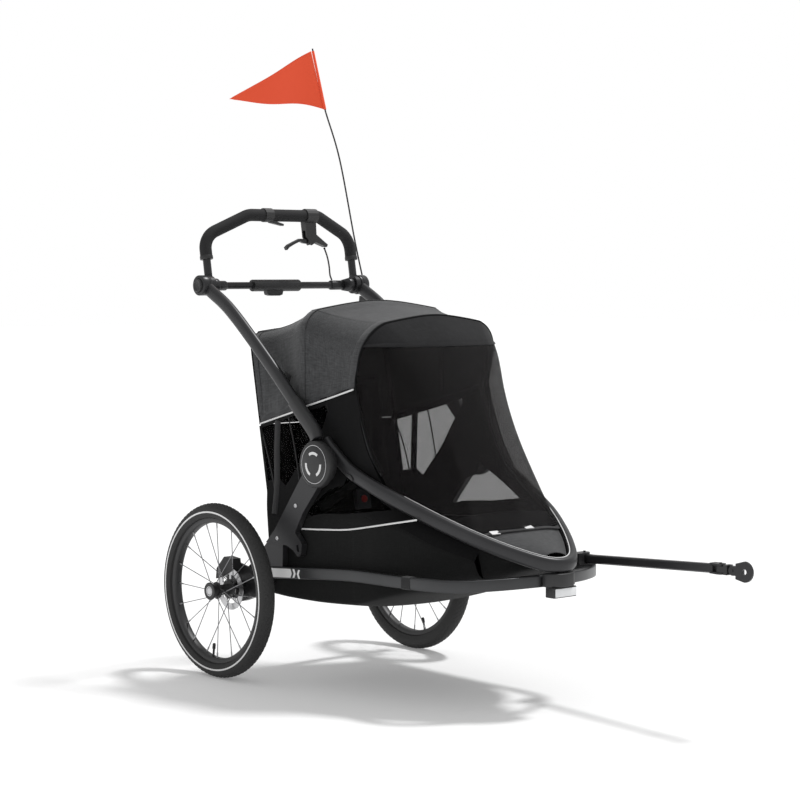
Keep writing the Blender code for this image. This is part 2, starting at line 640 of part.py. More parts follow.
def crossbar(upper_frame, trigger_body):
    """Bar between the pivots, with the fold grip around it and the squeeze trigger below."""
    x, z = CROSSBAR
    bar = y_rod("crossbar", x, z, -CROSSBAR_HALF - 0.002, CROSSBAR_HALF + 0.002, CROSSBAR_RADIUS,
                BLACK_METAL, upper_frame, 16)
    joined = []
    for side, _ in SIDES:
        joined.append(y_rod("boss", x, z, side * CROSSBAR_HALF, side * (EYE_IN - GAP), 0.0125,
                            BLACK_METAL, None, 16))
        link = arc(PIVOT, 0.0175, -90, 90, 8) + arc(CROSSBAR, 0.0145, 90, 270, 6)
        joined.append(prism("link", link, side * (EYE_IN - 0.016), side * (EYE_IN - GAP),
                            BLACK_METAL, None))
        joined.append(y_rod("pin", *PIVOT, side * (EYE_IN - 0.005), side * EYE_OUT,
                            PIVOT_PIN_RADIUS, BLACK_METAL, None, 16))
    combine(bar, joined, "UNION")
    notch = box("notch", (x - 0.02, TRIGGER_LOW - 0.002, z - 0.02),
                (x + 0.02, TRIGGER_HIGH + 0.002, z), BLACK_METAL, None)
    combine(bar, [notch], "DIFFERENCE")

    half = GRIP_RADIUS
    outline = arc(CROSSBAR, half, 0, 360 - 22.5, 15)
    grip = prism("fold_grip", outline, GRIP_LOW, GRIP_HIGH, BLACK_PLASTIC, upper_frame)
    bore = y_rod("bore", x, z, GRIP_LOW - 0.01, GRIP_HIGH + 0.01, CROSSBAR_RADIUS + GAP,
                 BLACK_PLASTIC, None, 16)
    pocket = box("pocket", (x - 0.008, TRIGGER_LOW - RUNNING, z - 0.03),
                 (x + 0.008, TRIGGER_HIGH + RUNNING, z - 0.002), BLACK_PLASTIC, None)
    combine(grip, [bore, pocket], "DIFFERENCE")

    side_low, side_high = x - 0.008 + RUNNING, x + 0.008 - RUNNING
    outline = [(TRIGGER_LOW, z - 0.0125), (TRIGGER_LOW + 0.003, z - 0.0235)]
    outline += [(TRIGGER_LOW + 0.012, z - 0.0265), (TRIGGER_HIGH - 0.012, z - 0.0265)]
    outline += [(TRIGGER_HIGH - 0.003, z - 0.0235), (TRIGGER_HIGH, z - 0.0125)]
    prism("fold_trigger", outline, side_low, side_high, BLACK_PLASTIC, trigger_body, "X")


# ---------------------------------------------------------------- handlebar
def handlebar_corners():
    """Corners of the handlebar's centre line, from the left eye over the top to the right eye."""
    low = Vector((PIVOT[0], BAR_Y, PIVOT[1]))
    bend = Vector((BAR_LOW_BEND[0], BAR_Y, BAR_LOW_BEND[1]))
    top = Vector((BAR_TOP[0], BAR_TOP_HALF, BAR_TOP[1]))
    start = low + (bend - low).normalized() * 0.027
    return [start, bend, top]


def handlebar(body):
    """Bent handlebar with an eye at each end, and the foam sleeve over its bends and top."""
    start, bend, top = handlebar_corners()
    path = rounded_path(mirrored([start, bend, top]), BAR_BEND)
    bar = sweep("handlebar", path, circle(BAR_RADIUS), BLACK_METAL, body, (1, 0, 0))
    foam_start = start.lerp(bend, (FOAM_START_Z - start.z) / (bend.z - start.z))
    foam_path = rounded_path(mirrored([foam_start, bend, top]), BAR_BEND)
    sweep("foam_grip", foam_path, circle(FOAM_RADIUS), FOAM, body, (1, 0, 0),
          hollow=circle(BAR_RADIUS + GAP))
    eyes = []
    bores = []
    rise = (bend - start).normalized()
    across = Vector((-rise.z, 0, rise.x)) * 0.009
    for side, _ in SIDES:
        centre = Vector((PIVOT[0], 0, PIVOT[1]))
        eyes.append(y_rod("eye", *PIVOT, side * EYE_IN, side * EYE_OUT, EYE_RADIUS, BLACK_METAL,
                          None, 32))
        neck = [centre + across, centre - across, centre + rise * 0.040 - across * 0.7]
        neck.append(centre + rise * 0.040 + across * 0.7)
        eyes.append(prism("neck", [(p.x, p.z) for p in neck], side * EYE_IN, side * EYE_OUT,
                          BLACK_METAL, None))
        bores.append(y_rod("bore", *PIVOT, side * (EYE_IN - 0.01), side * (EYE_OUT + 0.01),
                           PIVOT_PIN_RADIUS + RUNNING, BLACK_METAL, None, 16))
    combine(bar, eyes, "UNION")
    combine(bar, bores, "DIFFERENCE")


def brake_lever(handle_body, lever_body):
    """Clamp on the foam with its bracket, the lever, and the small clip at the other side."""
    x, z = BAR_TOP
    clamp = y_rod("brake_clamp", x, z, LEVER_Y - 0.018, LEVER_Y + 0.018, FOAM_RADIUS + 0.003,
                  BLACK_PLASTIC, handle_body, 16)
    bracket = [(LEVER_Y - 0.018, z - 0.012), (LEVER_Y - 0.012, LEVER_PIVOT_Z + 0.012)]
    bracket += [(LEVER_Y + 0.004, LEVER_PIVOT_Z - 0.008), (LEVER_Y + 0.018, LEVER_PIVOT_Z)]
    bracket += [(CABLE_EXIT[1] + 0.002, CABLE_EXIT[2] + GAP), (CABLE_EXIT[1] + 0.005, CABLE_EXIT[2] + 0.007)]
    bracket += [(LEVER_Y + 0.020, LEVER_PIVOT_Z + 0.020), (LEVER_Y + 0.018, z - 0.012)]
    stem = prism("stem", bracket, x - 0.016, x + 0.004, BLACK_PLASTIC, None, "X")
    pin = rod("pin", (x - 0.017, LEVER_Y - 0.004, LEVER_PIVOT_Z + 0.001),
              (x + 0.0035, LEVER_Y - 0.004, LEVER_PIVOT_Z + 0.001), 0.003, STEEL, None, 12)
    combine(clamp, [stem, pin], "UNION")
    clear = (FOAM_RADIUS + GAP) / math.cos(math.pi / 12)
    bore = y_rod("bore", x, z, LEVER_Y - 0.03, LEVER_Y + 0.03, clear, BLACK_PLASTIC, None, 12)
    pocket = box("pocket", (x - 0.0115, LEVER_Y - 0.04, LEVER_PIVOT_Z - 0.02),
                 (x - 0.0005, LEVER_Y + 0.006, LEVER_PIVOT_Z + 0.030), BLACK_PLASTIC, None)
    combine(clamp, [bore], "DIFFERENCE")
    combine(pocket, [rod("kept_pin", (x - 0.02, LEVER_Y - 0.004, LEVER_PIVOT_Z + 0.001),
                         (x + 0.01, LEVER_Y - 0.004, LEVER_PIVOT_Z + 0.001), 0.003, STEEL, None, 12)],
            "DIFFERENCE")
    combine(clamp, [pocket], "DIFFERENCE")

    blade = [(LEVER_Y + 0.003, LEVER_PIVOT_Z - 0.005), (LEVER_Y + 0.003, LEVER_PIVOT_Z + 0.006)]
    blade += [(LEVER_Y - 0.020, LEVER_PIVOT_Z + 0.009), (LEVER_Y - 0.030, LEVER_PIVOT_Z + 0.009)]
    blade += [(LEVER_Y - 0.050, LEVER_PIVOT_Z + 0.001), (LEVER_Y - 0.069, LEVER_PIVOT_Z - 0.007)]
    blade += [(LEVER_Y - 0.077, LEVER_PIVOT_Z - 0.014), (LEVER_Y - 0.073, LEVER_PIVOT_Z - 0.021)]
    blade += [(LEVER_Y - 0.066, LEVER_PIVOT_Z - 0.014), (LEVER_Y - 0.048, LEVER_PIVOT_Z - 0.005)]
    blade += [(LEVER_Y - 0.030, LEVER_PIVOT_Z + 0.002), (LEVER_Y - 0.018, LEVER_PIVOT_Z - 0.003)]
    lever = prism("brake_lever", blade, x - 0.011, x - 0.001, BLACK_METAL, lever_body, "X")
    bore = rod("bore", (x - 0.03, LEVER_Y - 0.004, LEVER_PIVOT_Z + 0.001),
               (x + 0.02, LEVER_Y - 0.004, LEVER_PIVOT_Z + 0.001), 0.003 + RUNNING, STEEL, None, 12)
    combine(lever, [bore], "DIFFERENCE")

    clip = y_rod("bar_clip", x, z, -0.066, -0.040, FOAM_RADIUS + 0.0025, BLACK_PLASTIC, handle_body, 16)
    tab = [(-0.044, z - 0.012), (-0.044, z - 0.0195), (-0.004, z - 0.027), (-0.003, z - 0.022)]
    tab += [(-0.040, z - 0.012)]
    tongue = prism("tab", tab, x - 0.007, x + 0.007, BLACK_PLASTIC, None, "X")
    combine(clip, [tongue], "UNION")
    bore = y_rod("bore", x, z, -0.08, 0.02, clear, BLACK_PLASTIC, None, 12)
    combine(clip, [bore], "DIFFERENCE")


def brake_cable(handle_body):
    """Cable from the lever's outlet down to the crossbar's boss, on one smooth curve."""
    route = [
        (CABLE_EXIT[0], 0.1405, 1.0585),
        (CABLE_EXIT[0] - 0.001, 0.1445, 1.0520),
        (CABLE_EXIT[0] - 0.003, 0.1540, 1.0330),
        (CABLE_EXIT[0] - 0.006, 0.1620, 1.0100),
        (CABLE_EXIT[0] - 0.010, 0.1680, 0.9880),
        (CROSSBAR[0], 0.1770, CROSSBAR[1] + 0.0140),
    ]
    path = smooth_path(route, 3)
    curve = bpy.data.curves.new("brake_cable", "CURVE")
    curve.dimensions = "3D"
    spline = curve.splines.new("POLY")
    spline.points.add(len(path) - 1)
    for point, place in zip(spline.points, path):
        point.co = (*place, 1.0)
    curve.bevel_depth = 0.0022
    curve.bevel_resolution = 2
    curve.use_fill_caps = True
    cable = bpy.data.objects.new("brake_cable", curve)
    bpy.context.scene.collection.objects.link(cable)
    material = bpy.data.materials.new("brake_cable")
    material.use_nodes = True
    shader = material.node_tree.nodes["Principled BSDF"]
    shader.inputs["Base Color"].default_value = (0.02, 0.02, 0.02, 1.0)
    shader.inputs["Roughness"].default_value = 0.5
    curve.materials.append(material)
    BODY_OF["brake_cable"] = handle_body


# ---------------------------------------------------------------- flag
def flag(upper_frame):
    """Holder on the left upper tube, thin pole that bends back, and a three-cornered flag."""
    pole_y = DRUM_OUT + 0.020
    foot, low = Vector((-0.146, pole_y, 0.900)), Vector((-0.160, pole_y, 0.942))
    hoist, tip = Vector((-0.330, pole_y, 1.432)), Vector((-0.386, pole_y, 1.605))
    line = [foot, low, Vector((-0.206, pole_y, 1.081)), Vector((-0.269, pole_y, 1.298)), hoist]
    path = smooth_path(line, 2) + [tip]
    sweep("flag_pole", path, circle(POLE_RADIUS, 8), BLACK_PLASTIC, upper_frame, (0, 1, 0))

    face = UPPER_TUBE_Y + TUBE_WIDTH / 2 + GAP
    outline = [(-0.156, 0.902), (-0.096, 0.900), (-0.084, 0.930), (-0.112, 0.934), (-0.152, 0.932)]
    holder = prism("flag_holder", outline, face, face + 0.006, BLACK_PLASTIC, upper_frame)
    rise = (low - foot).normalized()
    barrel = rod("barrel", foot - rise * 0.003, foot + rise * 0.032, 0.0065, BLACK_PLASTIC, None, 12)
    web = box("web", (-0.158, face + 0.004, 0.907), (-0.148, pole_y, 0.925), BLACK_PLASTIC, None)
    combine(holder, [barrel, web], "UNION")
    hole = rod("hole", foot - rise * GAP, foot + rise * 0.05, POLE_RADIUS + GAP, BLACK_PLASTIC, None, 8)
    combine(holder, [hole], "DIFFERENCE")

    fly = Vector((-FLAG_REACH, pole_y - 0.117, 1.476))
    clear = Vector((-0.9, -0.42, 0.0)) * (POLE_RADIUS + 2 * GAP)
    hoist_low, hoist_high = hoist.lerp(tip, 0.03) + clear, hoist.lerp(tip, 0.96) + clear
    rows = []
    for i in range(9):
        t = i / 8
        low_edge, high_edge = hoist_low.lerp(fly, t), hoist_high.lerp(fly, t)
        wave = Vector((0.42, -0.9, 0)) * 0.012 * math.sin(2 * math.pi * t) * (1 - t)
        rows.append([low_edge.lerp(high_edge, j / 3) + wave for j in range(4)])
    rows[-1] = [fly + Vector((0, 0, 0.0010 * (j - 1.5))) for j in range(4)]
    skin("flag", rows, 0.0010, ORANGE_FABRIC, upper_frame)


# ---------------------------------------------------------------- cabin
def roof_section(half, top, corner, crown, base, steps=4):
    """Half of a roof's cross section, from its foot up the wall and over to the middle."""
    points = [(half, base), (half, (base + top - crown - corner) / 2)]
    points += arc((half - corner, top - crown - corner), corner, 0, 80, steps)
    points += [((half - corner) * 0.45, top - crown * 0.25), (0.0, top)]
    return points


def rear_edge_x(z):
    """Where the sloping rear wall stands at a height."""
    return 0.009 + (0.774 - z) * 0.19


def front_edge_x(z):
    """Where the front hoop stands at a height above the upper seam."""
    return 0.395 + max(0.0, z - 0.73) * 0.25


def roof_row(shape, base, x_at, inset=0.0):
    """Whole cross section of the roof from the left foot to the right foot."""
    half, top, corner, crown = shape
    outline = roof_section(half - inset, top - inset, corner - inset, crown, base)
    return mirrored([Vector((x_at(z), y, z)) for y, z in outline])


def between(first, second, part):
    """A roof shape part of the way from one to the next."""
    return tuple(a + (b - a) * part for a, b in zip(first, second))


def canopy(chassis):
    """Fabric roof and rear panel stretched over the bows, and the bows under it."""
    rear = roof_row(REAR_ROOF, SEAM_REAR, rear_edge_x)
    main = roof_row(MAIN_ROOF, SEAM_MAIN, lambda z: MAIN_BOW_X)
    front = roof_row(FRONT_ROOF, SEAM_FRONT, front_edge_x)
    rows = [[Vector((point.x, 0.0, point.z)) for point in rear], rear]
    for first, second in ((rear, main), (main, front)):
        rows.append([a.lerp(b, 0.5) for a, b in zip(first, second)])
        rows.append(second)
    skin("canopy", rows, SKIN, GREY_FABRIC, chassis)

    inset = SKIN / 2 + BOW_RADIUS + 2 * GAP
    rear_shape = between(REAR_ROOF, MAIN_ROOF, BOW_SET_BACK / (MAIN_BOW_X - rear_edge_x(0.8)))
    front_shape = between(FRONT_ROOF, MAIN_ROOF, BOW_SET_BACK / (front_edge_x(0.8) - MAIN_BOW_X))
    bows = (
        ("rear_bow", rear_shape, lambda z: rear_edge_x(z) + BOW_SET_BACK, SEAM_REAR + 0.02),
        ("main_bow", MAIN_ROOF, lambda z: MAIN_BOW_X, SEAM_MAIN + 0.02),
        ("front_bow", front_shape, lambda z: front_edge_x(z) - BOW_SET_BACK, SEAM_FRONT + 0.02),
    )
    for name, shape, x_at, base in bows:
        path = roof_row(shape, base, x_at, inset)
        if name == "front_bow":
            leg_y = WALL_HALF - SKIN / 2 - BOW_RADIUS - 2 * GAP
            leg = [(0.486, leg_y - 0.0025, 0.526), (0.446, leg_y, 0.576), (0.414, leg_y, 0.640)]
            leg.append((0.388, leg_y, 0.705))
            path = mirrored([Vector(point) for point in leg] + path[: len(path) // 2 + 1])
        sweep(name, path, circle(BOW_RADIUS, 8), BLACK_METAL, chassis, (1, 0, 0))


def tube_at(x):
    """Place (y, z) of the forward tube's centre line, in front of the cabin's sides."""
    for (x0, y0, z0), (x1, y1, z1) in zip(NARROW_TUBE, NARROW_TUBE[1:]):
        if x <= x1:
            t = (x - x0) / (x1 - x0)
            return y0 + (y1 - y0) * t, z0 + (z1 - z0) * t
    return NARROW_TUBE[-1][1:]


def beside_tube(x):
    """Half width that just clears the forward tubes' inner sides."""
    y, z = tube_at(x)
    slope = (tube_at(x + 0.001)[0] - y) / 0.001
    return y - TUBE_WIDTH / 2 * math.hypot(1, slope) - SKIN / 2 - 0.0010


def tub_row(x_at, half_top, half_mid, half_low, heights):
    """Cross section of the cabin's lower body: wall, belly and the same on the other side."""
    top, high, knee, low, floor = heights
    outline = [(half_top, top), (half_mid, high), (half_mid, knee), (half_low, low)]
    outline += [(half_low - 0.002, floor + 0.045), (half_low - 0.030, floor + 0.008), (0.0, floor - 0.006)]
    return mirrored([Vector((x_at(z), y, z)) for y, z in outline])


def cabin_tub(chassis):
    """Fabric lower body: rear wall, side walls, belly and the tapering footwell."""
    wide = CABIN_HALF + 0.003
    under_seam = 2 * GAP + SKIN / 2
    heights = (SEAM_REAR - under_seam, 0.55, 0.47, 0.40, 0.206)
    rear = tub_row(lambda z: min(0.098, rear_edge_x(z)), REAR_ROOF[0], REAR_ROOF[0] + 0.004, CABIN_HALF,
                   heights)
    rows = [[Vector((point.x, 0.0, point.z)) for point in rear], rear]
    sides = (
        (0.150, between(REAR_ROOF, MAIN_ROOF, 0.62)[0], 0.222, (0.6505, 0.57, 0.48, 0.40, 0.205)),
        (0.220, MAIN_ROOF[0], 0.222, (SEAM_MAIN - under_seam, 0.60, 0.50, 0.40, 0.205)),
        (0.285, between(MAIN_ROOF, FRONT_ROOF, 0.37)[0], WALL_HALF, (0.6885, 0.625, 0.54, 0.42, 0.206)),
        (0.395, FRONT_ROOF[0], WALL_HALF, (SEAM_FRONT - under_seam, 0.565, 0.50, 0.43, 0.211)),
        (0.420, WALL_HALF, WALL_HALF, (0.634, 0.550, 0.49, 0.43, 0.213)),
        (0.450, WALL_HALF, WALL_HALF, (0.568, 0.530, 0.48, 0.43, 0.217)),
        (0.500, beside_tube(0.500), beside_tube(0.500), (0.500, 0.490, 0.458, 0.42, 0.226)),
    )
    for x, half_top, half_mid, heights in sides:
        rows.append(tub_row(lambda z, x=x: x, half_top, half_mid, wide, heights))
    for x, half_low, floor in ((0.560, 0.222, 0.238), (0.654, 0.196, 0.258), (0.731, 0.140, 0.285)):
        z = tube_at(x)[1]
        half = beside_tube(x)
        heights = (z + 0.003, z - 0.004, z - 0.024, z - 0.050, floor)
        rows.append(tub_row(lambda z, x=x: x, half, half, half_low, heights))
    skin("cabin_tub", rows, SKIN, DARK_FABRIC, chassis)


def panel_z(x, y):
    """Height of the nose panel's middle surface."""
    return tube_at(x)[1] + 0.005 + 0.010 * max(0.0, 1 - (y / beside_tube(x)) ** 2)


def front_covers(chassis):
    """Nose panel, and the screen with its visor between the front bow and the nose."""
    rows = []
    for x in (0.660, 0.700, 0.740, 0.780, 0.815, 0.845):
        half = beside_tube(x)
        rows.append([Vector((x, half * j / 3, panel_z(x, half * j / 3))) for j in range(-3, 4)])
    skin("nose_panel", rows, SKIN, GREY_FABRIC, chassis)

    screen_half = WALL_HALF + 0.0003
    leg = [(0.506, screen_half, 0.512), (0.474, screen_half, 0.548), (0.446, screen_half, 0.596)]
    leg += [(0.420, screen_half, 0.656), (0.401, screen_half, 0.715)]
    roof = roof_row(FRONT_ROOF, SEAM_FRONT + 0.02, lambda z: front_edge_x(z) + SKIN)
    upper = [Vector(point) for point in leg] + roof[: len(roof) // 2 + 1]
    count = len(upper)
    side_points = count - 5
    lower = []
    for i in range(side_points):
        x = 0.512 + (0.724 - 0.512) * i / (side_points - 1)
        y, z = tube_at(x)
        lower.append(Vector((x, y - TUBE_WIDTH / 2 - 0.0012, z + 0.012)))
    corner = lower[-1]
    for i in range(1, 6):
        x, y = corner.x + 0.020 * i / 5, corner.y * (1 - i / 5)
        lower.append(Vector((x, y, panel_z(x, y) + 0.0030)))
    upper, lower = mirrored(upper), mirrored(lower)
    rows = []
    for v in (0.0, 0.06, 0.13, 0.2, 0.32, 0.45, 0.6, 0.8, 1.0):
        swell = math.sin(v / 0.2 * math.pi / 2)
        if v > 0.2:
            swell = math.cos((v - 0.2) / 0.8 * math.pi / 2)
        row = []
        for high, low in zip(upper, lower):
            lift = min(1.0, max(0.0, (high.z - 0.60) / 0.25))
            pull = min(1.0, max(0.0, (high.z - 0.52) / 0.20)) * math.sin(math.pi * v)
            point = high.lerp(low, v) + Vector((0.97, 0, 0.26)) * SCREEN_SWELL * swell * lift
            point.y *= 1 - SCREEN_WAIST * pull
            row.append(point)
        rows.append(row)
    skin("front_screen", rows, SKIN, DARK_FABRIC, chassis)


def seat(chassis, button_body):
    """Padded seat on the rear wall, its harness, the buckle and the buckle's button."""
    back = SKIN / 2 + GAP
    outline = [(rear_edge_x(0.72) + back, 0.720), (rear_edge_x(0.42) + back, 0.420), (0.110, 0.330)]
    outline += [(0.420, 0.345), (0.432, 0.370), (0.415, 0.395), (0.190, 0.380), (0.170, 0.395)]
    outline += [(0.100, 0.735), (0.070, 0.745)]
    prism("seat", outline, -SEAT_HALF, SEAT_HALF, GREY_FABRIC, chassis)

    foot = Vector((0.170, 0, 0.395))
    rise = (Vector((0.100, 0, 0.735)) - foot).normalized()
    out = Vector((rise.z, 0, -rise.x))

    def on_back(along, y, lift):
        """A point at a distance up the seat back, across it, and out from it."""
        return foot + rise * along + out * lift + Vector((0, y, 0))

    def slab(name, low, high, half, finish, body):
        """A block on the seat back; low and high are (along, lift)."""
        corners = [on_back(a, 0, n) for a, n in ((low[0], low[1]), (high[0], low[1]),
                                                 (high[0], high[1]), (low[0], high[1]))]
        return prism(name, [(p.x, p.z) for p in corners], -half, half, finish, body)

    harness = slab("harness", (0.0606, 0.0008), (0.088, 0.0070), 0.018, DARK_FABRIC, chassis)
    band = [(-0.012, -0.001), (0.012, -0.001), (0.012, 0.001), (-0.012, 0.001)]
    bands = []
    for side, _ in SIDES:
        shoulder = [on_back(0.300, side * 0.055, 0.0022), on_back(0.075, side * 0.012, 0.0022)]
        lap = [on_back(0.030, side * 0.135, 0.0022), on_back(0.079, side * 0.010, 0.0022)]
        for path in (shoulder, lap):
            bands.append(sweep("band", path, band, DARK_FABRIC, None, out))
    combine(harness, bands, "UNION")

    buckle = slab("buckle", (0.012, 0.0008), (0.060, 0.0150), 0.021, BLACK_PLASTIC, chassis)
    pocket = rod("pocket", on_back(0.036, 0, 0.0080), on_back(0.036, 0, 0.03), 0.009 + RUNNING,
                 BLACK_PLASTIC, None, 16)
    combine(buckle, [pocket], "DIFFERENCE")
    rod("buckle_button", on_back(0.036, 0, 0.0118), on_back(0.036, 0, 0.0175), 0.009,
        RED_PLASTIC, button_body, 16)


# ---------------------------------------------------------------- tow arm
def tow(chassis, arm_body, knuckle_body, plate_body):
    """Bracket on the left rail, swinging arm, yaw knuckle and the plate for the bicycle's axle."""
    x, y, z = ARM_PIN
    eye_low, eye_high = z - ARM_SIZE / 2, z + ARM_SIZE / 2
    low_plate = [(x - 0.020, y - 0.035), (x + 0.020, y - 0.035), (x + 0.020, y + 0.020)]
    low_plate += [(x - 0.030, y + 0.036)]
    bracket = prism("tow_bracket", low_plate, eye_low - ARM_PLATE, eye_low - GAP, BLACK_METAL, chassis, "Z")
    top_plate = [(x - 0.014, y - 0.034), (x + 0.014, y - 0.034)] + arc((x, y), 0.013, -15, 195, 8)
    top = prism("top", top_plate, eye_high + GAP, eye_high + ARM_PLATE, BLACK_METAL, None, "Z")
    wall = box("wall", (x - 0.016, y - 0.0345, eye_low - 0.002), (x + 0.016, y - 0.0165, eye_high + 0.0040),
               BLACK_METAL, None)
    pin = rod("pin", (x, y, eye_low - 0.003), (x, y, eye_high + 0.0075), 0.003, STEEL, None, 12)
    combine(bracket, [top, wall, pin], "UNION")

    yaw_x, yaw_y, yaw_z = YAW
    start, end = Vector((x, y, z)), Vector((yaw_x, yaw_y, yaw_z))
    ahead = (end - start).normalized()
    half = ARM_SIZE / 2
    square = [(-half, -half + 0.003), (-half + 0.003, -half), (half - 0.003, -half), (half, -half + 0.003)]
    square += [(half, half - 0.003), (half - 0.003, half), (-half + 0.003, half), (-half, half - 0.003)]
    path = [start + Vector((0.0085, 0, 0)), start + Vector((0.0240, 0, 0)), end - ahead * 0.0150]
    arm = sweep("tow_arm", path, square, BLACK_METAL, arm_body)
    eye = rod("eye", (x, y, eye_low), (x, y, eye_high), 0.0130, BLACK_METAL, None, 24)
    ears = [eye]
    ear = [(yaw_x - 0.024, yaw_y - 0.009)] + arc((yaw_x, yaw_y), 0.012, -90, 90, 8)
    ear.append((yaw_x - 0.024, yaw_y + 0.011))
    for low, high in ((-0.0118, -0.0073), (0.0073, 0.0118)):
        ears.append(prism("ear", ear, yaw_z + low, yaw_z + high, BLACK_METAL, None, "Z"))
    ears.append(rod("pin", (yaw_x, yaw_y, yaw_z - 0.011), (yaw_x, yaw_y, yaw_z + 0.014), 0.003,
                    STEEL, None, 12))
    combine(arm, ears, "UNION")
    bore = rod("bore", (x, y, eye_low - 0.01), (x, y, eye_high + 0.01), 0.003 + RUNNING, STEEL, None, 12)
    combine(arm, [bore], "DIFFERENCE")

    tongue = arc((yaw_x, yaw_y), 0.0105, 90, 270, 8) + [(yaw_x + 0.018, yaw_y - 0.0085)]
    tongue.append((yaw_x + 0.018, yaw_y + 0.0085))
    knuckle = prism("hitch_knuckle", tongue, yaw_z - 0.0067, yaw_z + 0.0067, BLACK_METAL, knuckle_body, "Z")
    block = box("block", (yaw_x + 0.0155, yaw_y - 0.0100, yaw_z - 0.011),
                (yaw_x + 0.0265, yaw_y + 0.0100, yaw_z + 0.011), BLACK_METAL, None)
    lug = arc((PITCH_X, yaw_z), 0.0100, -90, 90, 8) + [(yaw_x + 0.022, yaw_z + 0.0098)]
    lug.append((yaw_x + 0.022, yaw_z - 0.0098))
    lug_piece = prism("lug", lug, yaw_y - 0.0040, yaw_y + 0.0040, BLACK_METAL, None)
    combine(knuckle, [block, lug_piece], "UNION")
    bores = [
        rod("bore", (yaw_x, yaw_y, yaw_z - 0.03), (yaw_x, yaw_y, yaw_z + 0.03), 0.003 + RUNNING,
            STEEL, None, 12),
        y_rod("bore", PITCH_X, yaw_z, yaw_y - 0.03, yaw_y + 0.03, 0.003 + RUNNING, STEEL, None, 12),
    ]
    combine(knuckle, bores, "DIFFERENCE")

    face = yaw_y - 0.0125
    plate_outline = arc(BIKE_AXLE, HITCH_REACH - BIKE_AXLE[0], -90, 90, 12)
    plate_outline += [(PITCH_X + 0.0125, BIKE_AXLE[1] + 0.016), (PITCH_X + 0.0125, BIKE_AXLE[1] - 0.018)]
    plate = prism("hitch_plate", plate_outline, face, face + 0.0050, STEEL, plate_body)
    joined = [box("bridge", (PITCH_X + 0.0118, face + 0.001, yaw_z - 0.0105),
                  (PITCH_X + 0.0200, yaw_y + 0.0090, yaw_z + 0.0105), STEEL, None)]
    ear = arc((PITCH_X, yaw_z), 0.0105, 90, 270, 8) + [(PITCH_X + 0.015, yaw_z - 0.0095)]
    ear.append((PITCH_X + 0.015, yaw_z + 0.0095))
    for low, high in ((-0.0090, -0.0046), (0.0046, 0.0090)):
        joined.append(prism("ear", ear, yaw_y + low, yaw_y + high, STEEL, None))
    joined.append(y_rod("pin", PITCH_X, yaw_z, yaw_y - 0.0105, yaw_y + 0.0105, 0.003, STEEL, None, 12))
    combine(plate, joined, "UNION")
    hole = y_rod("axle_hole", *BIKE_AXLE, face - 0.01, face + 0.01, 0.0062, STEEL, None, 20)
    combine(plate, [hole], "DIFFERENCE")


def build():
    """Make every body and every piece."""
    for old in list(bpy.data.objects):
        bpy.data.objects.remove(old, do_unlink=True)
    chassis = new_body("chassis")
    upper = new_body("upper_frame", chassis, (HUB[0], 0, HUB[1]))
    handle = new_body("handlebar_tilt", upper, (PIVOT[0], 0, PIVOT[1]))
    for side, label in SIDES:
        spin = new_body(f"wheel_spin_{label}", chassis, (0, side * WHEEL_Y, WHEEL_RADIUS))
        push = new_body(f"axle_push_{label}", chassis, (0, side * WHEEL_Y, WHEEL_RADIUS))
        boss_end, rotor_in = wheel(side, label, spin, chassis, push)
        arm_body = new_body(f"brake_arm_turn_{label}", chassis,
                            (-0.008, side * PLATE_OUT, WHEEL_RADIUS + 0.057))
        brakes(side, label, chassis, arm_body, rotor_in)
        legs(side, label, chassis)
        hubs(side, label, chassis, upper)
        upper_tubes(side, label, upper)
        tilt_push = new_body(f"tilt_push_{label}", upper, (PIVOT[0], side * DRUM_OUT, PIVOT[1]))
        tilt_button(side, label, tilt_push)
    axle_beam(chassis, boss_end)
    front_frame(chassis)
    lower_rail(chassis)
    nose_cap(chassis)
    trigger = new_body("trigger_push", upper, (CROSSBAR[0], 0, CROSSBAR[1] - 0.02))
    crossbar(upper, trigger)
    handlebar(handle)
    lever = new_body("lever_turn", handle, (BAR_TOP[0], LEVER_Y - 0.004, LEVER_PIVOT_Z + 0.001))
    brake_lever(handle, lever)
    brake_cable(handle)
    flag(upper)
    canopy(chassis)
    cabin_tub(chassis)
    front_covers(chassis)
    buckle_push = new_body("buckle_push", chassis, (0.1777, 0, 0.4338))
    seat(chassis, buckle_push)
    swing = new_body("tow_swing", chassis, ARM_PIN)
    yaw = new_body("hitch_yaw", swing, YAW)
    pitch = new_body("hitch_pitch", yaw, (PITCH_X, YAW[1], YAW[2]))
    tow(chassis, swing, yaw, pitch)
    hang_all()


build()
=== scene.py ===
"""Looks of a child bicycle trailer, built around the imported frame.

Places are written from the wheel axle's line, where x is 0, with +X towards the bicycle, +Y to the
trailer's left and +Z up, in metres.  at() moves such a place into the frame's own coordinates.
"""

import logging
import math
from collections.abc import Callable, Iterable, Sequence
from dataclasses import dataclass
from enum import Enum

import bmesh
import bpy
from mathutils import Matrix, Vector


